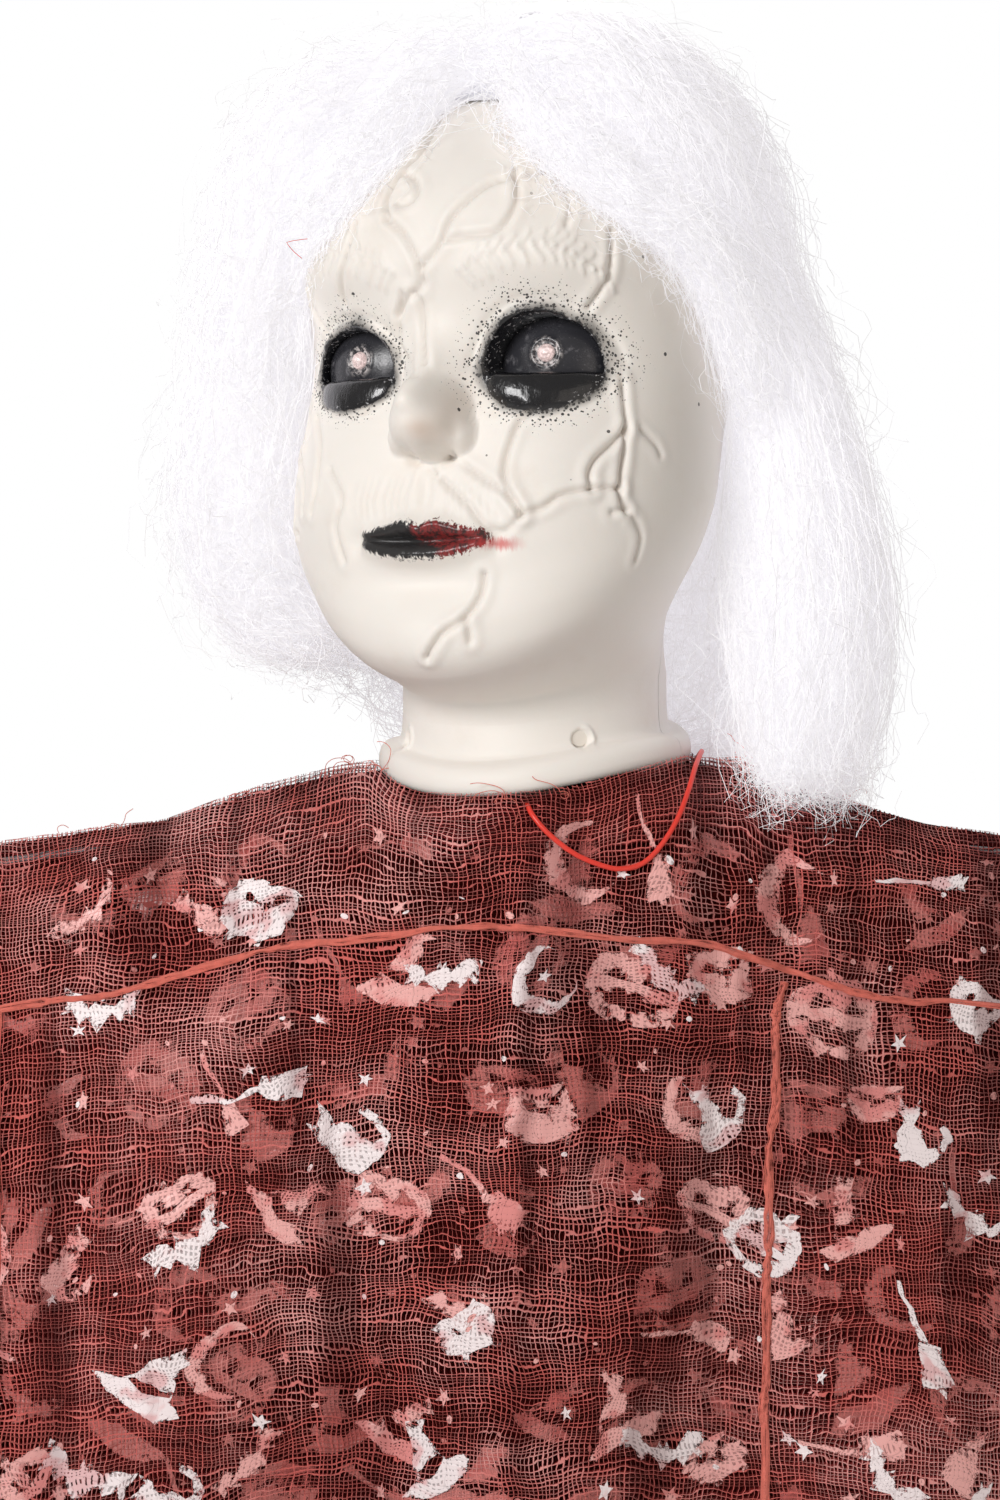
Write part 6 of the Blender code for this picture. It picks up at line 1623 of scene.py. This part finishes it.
# Finish of each slot: name, colour, roughness, metal, grain's scale, variation, bump and depth
FINISHES = {
    "steel": ("bright_wire", (0.62, 0.62, 0.63), 0.28, 1.0, 200.0, 0.3, 0.1, 0.0001),
    "grey_plastic": ("grey_moulding", (0.20, 0.20, 0.21), 0.5, 0.0, 40.0, 0.2, 0.12, 0.0003),
    "black_plastic": ("black_moulding", (0.022, 0.022, 0.024), 0.42, 0.0, 60.0, 0.35, 0.15, 0.0003),
    "ivory_plastic": ("ivory_moulding", (0.80, 0.75, 0.68), 0.45, 0.0, 30.0, 0.1, 0.1, 0.0003),
    "contact_metal": ("plated_strip", (0.66, 0.58, 0.38), 0.3, 1.0, 150.0, 0.3, 0.1, 0.0001),
    "cell_skin": ("cell_wrap", (0.09, 0.20, 0.14), 0.3, 0.3, 90.0, 0.2, 0.05, 0.0002),
    "cap_cloth": ("cap_net", (0.90, 0.90, 0.95), 0.85, 0.0, 500.0, 0.6, 0.8, 0.0006),
    "red_lead": ("lamp_lead_sheath", (0.62, 0.04, 0.03), 0.4, 0.0, 150.0, 0.2, 0.1, 0.0001),
}


class GHOST_OT_hardware(bpy.types.Operator):
    """Gives the plain parts of the frame their finishes"""

    bl_idname = "ghost.hardware"
    bl_label = "Hardware"

    def execute(self, context):
        finishes = {slot: grained(*finish) for slot, finish in FINISHES.items()}
        slots = {part["node"]: part["material_slot"] for part in frame["record"]["subparts"]}
        for name, node in frame["nodes"].items():
            finish = finishes.get(slots.get(name))
            if finish is not None and node.type == "MESH":
                node.data.materials.clear()
                node.data.materials.append(finish)
        return {"FINISHED"}


# Stage


def area_light(name, place, aim, size, power, colour=(1, 1, 1)):
    light = bpy.data.lights.new(name, "AREA")
    light.shape = "SQUARE"
    light.size = size
    light.energy = power
    light.color = colour
    obj = link(bpy.data.objects.new(name, light))
    obj.location = place
    obj.rotation_euler = (Vector(aim) - Vector(place)).to_track_quat("-Z", "Y").to_euler()


class GHOST_OT_stage(bpy.types.Operator):
    """Sets the camera, soft lights, white surroundings and pale floor"""

    bl_idname = "ghost.stage"
    bl_label = "Stage"

    def execute(self, context):
        scene = context.scene
        scene.view_settings.view_transform = "Standard"
        camera = bpy.data.cameras.new("camera")
        camera.sensor_fit = "VERTICAL"
        camera.sensor_height = 36
        camera.lens = 36 * CAMERA_BACK / (2 * PICTURE_MIDDLE[1] * PIXEL)
        camera.clip_start = 0.05
        eye = link(bpy.data.objects.new("camera", camera))
        eye.location = (CAMERA_AIM * MM, -CAMERA_BACK * MM, DATUM)
        eye.rotation_euler = (math.pi / 2, 0, 0)
        scene.camera = eye
        world = bpy.data.worlds.new("white_room")
        world.use_nodes = True
        tree = Tree(world.node_tree)
        background = world.node_tree.nodes["Background"]
        rays = tree.node("ShaderNodeLightPath").outputs
        seen = tree.most(rays["Is Camera Ray"], rays["Is Transmission Ray"], clamp=True)
        tree.feed(background.inputs[0], tree.mix(seen, (0.90, 0.86, 0.81), (1.0, 1.0, 1.0)))
        tree.feed(background.inputs[1], tree.mix_value(seen, 0.36, 1.0))
        scene.world = world
        aim = (0, 0, DATUM + 0.03)
        area_light("key", (-0.84, -1.20, DATUM + 0.44), aim, 0.55, 15.5, (1.0, 0.99, 0.99))
        area_light("fill", (1.0, -1.2, DATUM), aim, 1.2, 2.6, (1.0, 0.90, 0.81))
        area_light("rim", (0.6, 1.0, DATUM + 0.9), aim, 1.0, 8.0)
        bm = bmesh.new()
        bmesh.ops.create_grid(bm, x_segments=1, y_segments=1, size=3.0)
        bmesh.ops.translate(bm, vec=(0, 0, -1.12), verts=bm.verts)
        material, tree, shader = make_material("pale_floor")
        speck = tree.noise(tree.object_coords(), 3.0, 3.0)
        tree.feed(shader["Base Color"], tree.mix(speck, (0.90, 0.90, 0.90), (0.94, 0.94, 0.94)))
        shader["Roughness"].default_value = 0.9
        floor = mesh_object("floor", bm, material, smooth=False)
        return {"FINISHED"}


# Add-on

STEPS = (
    GHOST_OT_stage,
    GHOST_OT_lead,
    GHOST_OT_head,
    GHOST_OT_eyes,
    GHOST_OT_wig,
    GHOST_OT_gown,
    GHOST_OT_hardware,
)


class GHOST_PT_panel(bpy.types.Panel):
    """Lists the ghost's pieces"""

    bl_idname = "GHOST_PT_panel"
    bl_label = "Hanging Ghost"
    bl_space_type = "VIEW_3D"
    bl_region_type = "UI"
    bl_category = "Ghost"

    def draw(self, context):
        for step in STEPS:
            self.layout.operator(step.bl_idname)
        for group in (context.scene.ghost_head, context.scene.ghost_hair, context.scene.ghost_gown):
            box = self.layout.box()
            for name in group.bl_rna.properties.keys():
                if name not in ("rna_type", "name"):
                    box.prop(group, name)


GROUPS = {"ghost_head": GhostHeadSettings, "ghost_hair": GhostHairSettings, "ghost_gown": GhostGownSettings}


def register():
    for name, group in GROUPS.items():
        bpy.utils.register_class(group)
        setattr(bpy.types.Scene, name, bpy.props.PointerProperty(type=group))
    for step in STEPS:
        bpy.utils.register_class(step)
    bpy.utils.register_class(GHOST_PT_panel)


def unregister():
    bpy.utils.unregister_class(GHOST_PT_panel)
    for step in reversed(STEPS):
        bpy.utils.unregister_class(step)
    for name, group in GROUPS.items():
        delattr(bpy.types.Scene, name)
        bpy.utils.unregister_class(group)


def main():
    register()
    bpy.ops.ghost.stage()
    bpy.ops.ghost.lead()
    bpy.ops.ghost.head()
    bpy.ops.ghost.eyes()
    bpy.ops.ghost.wig()
    bpy.ops.ghost.gown()
    bpy.ops.ghost.hardware()


if __name__ == "__main__":
    main()
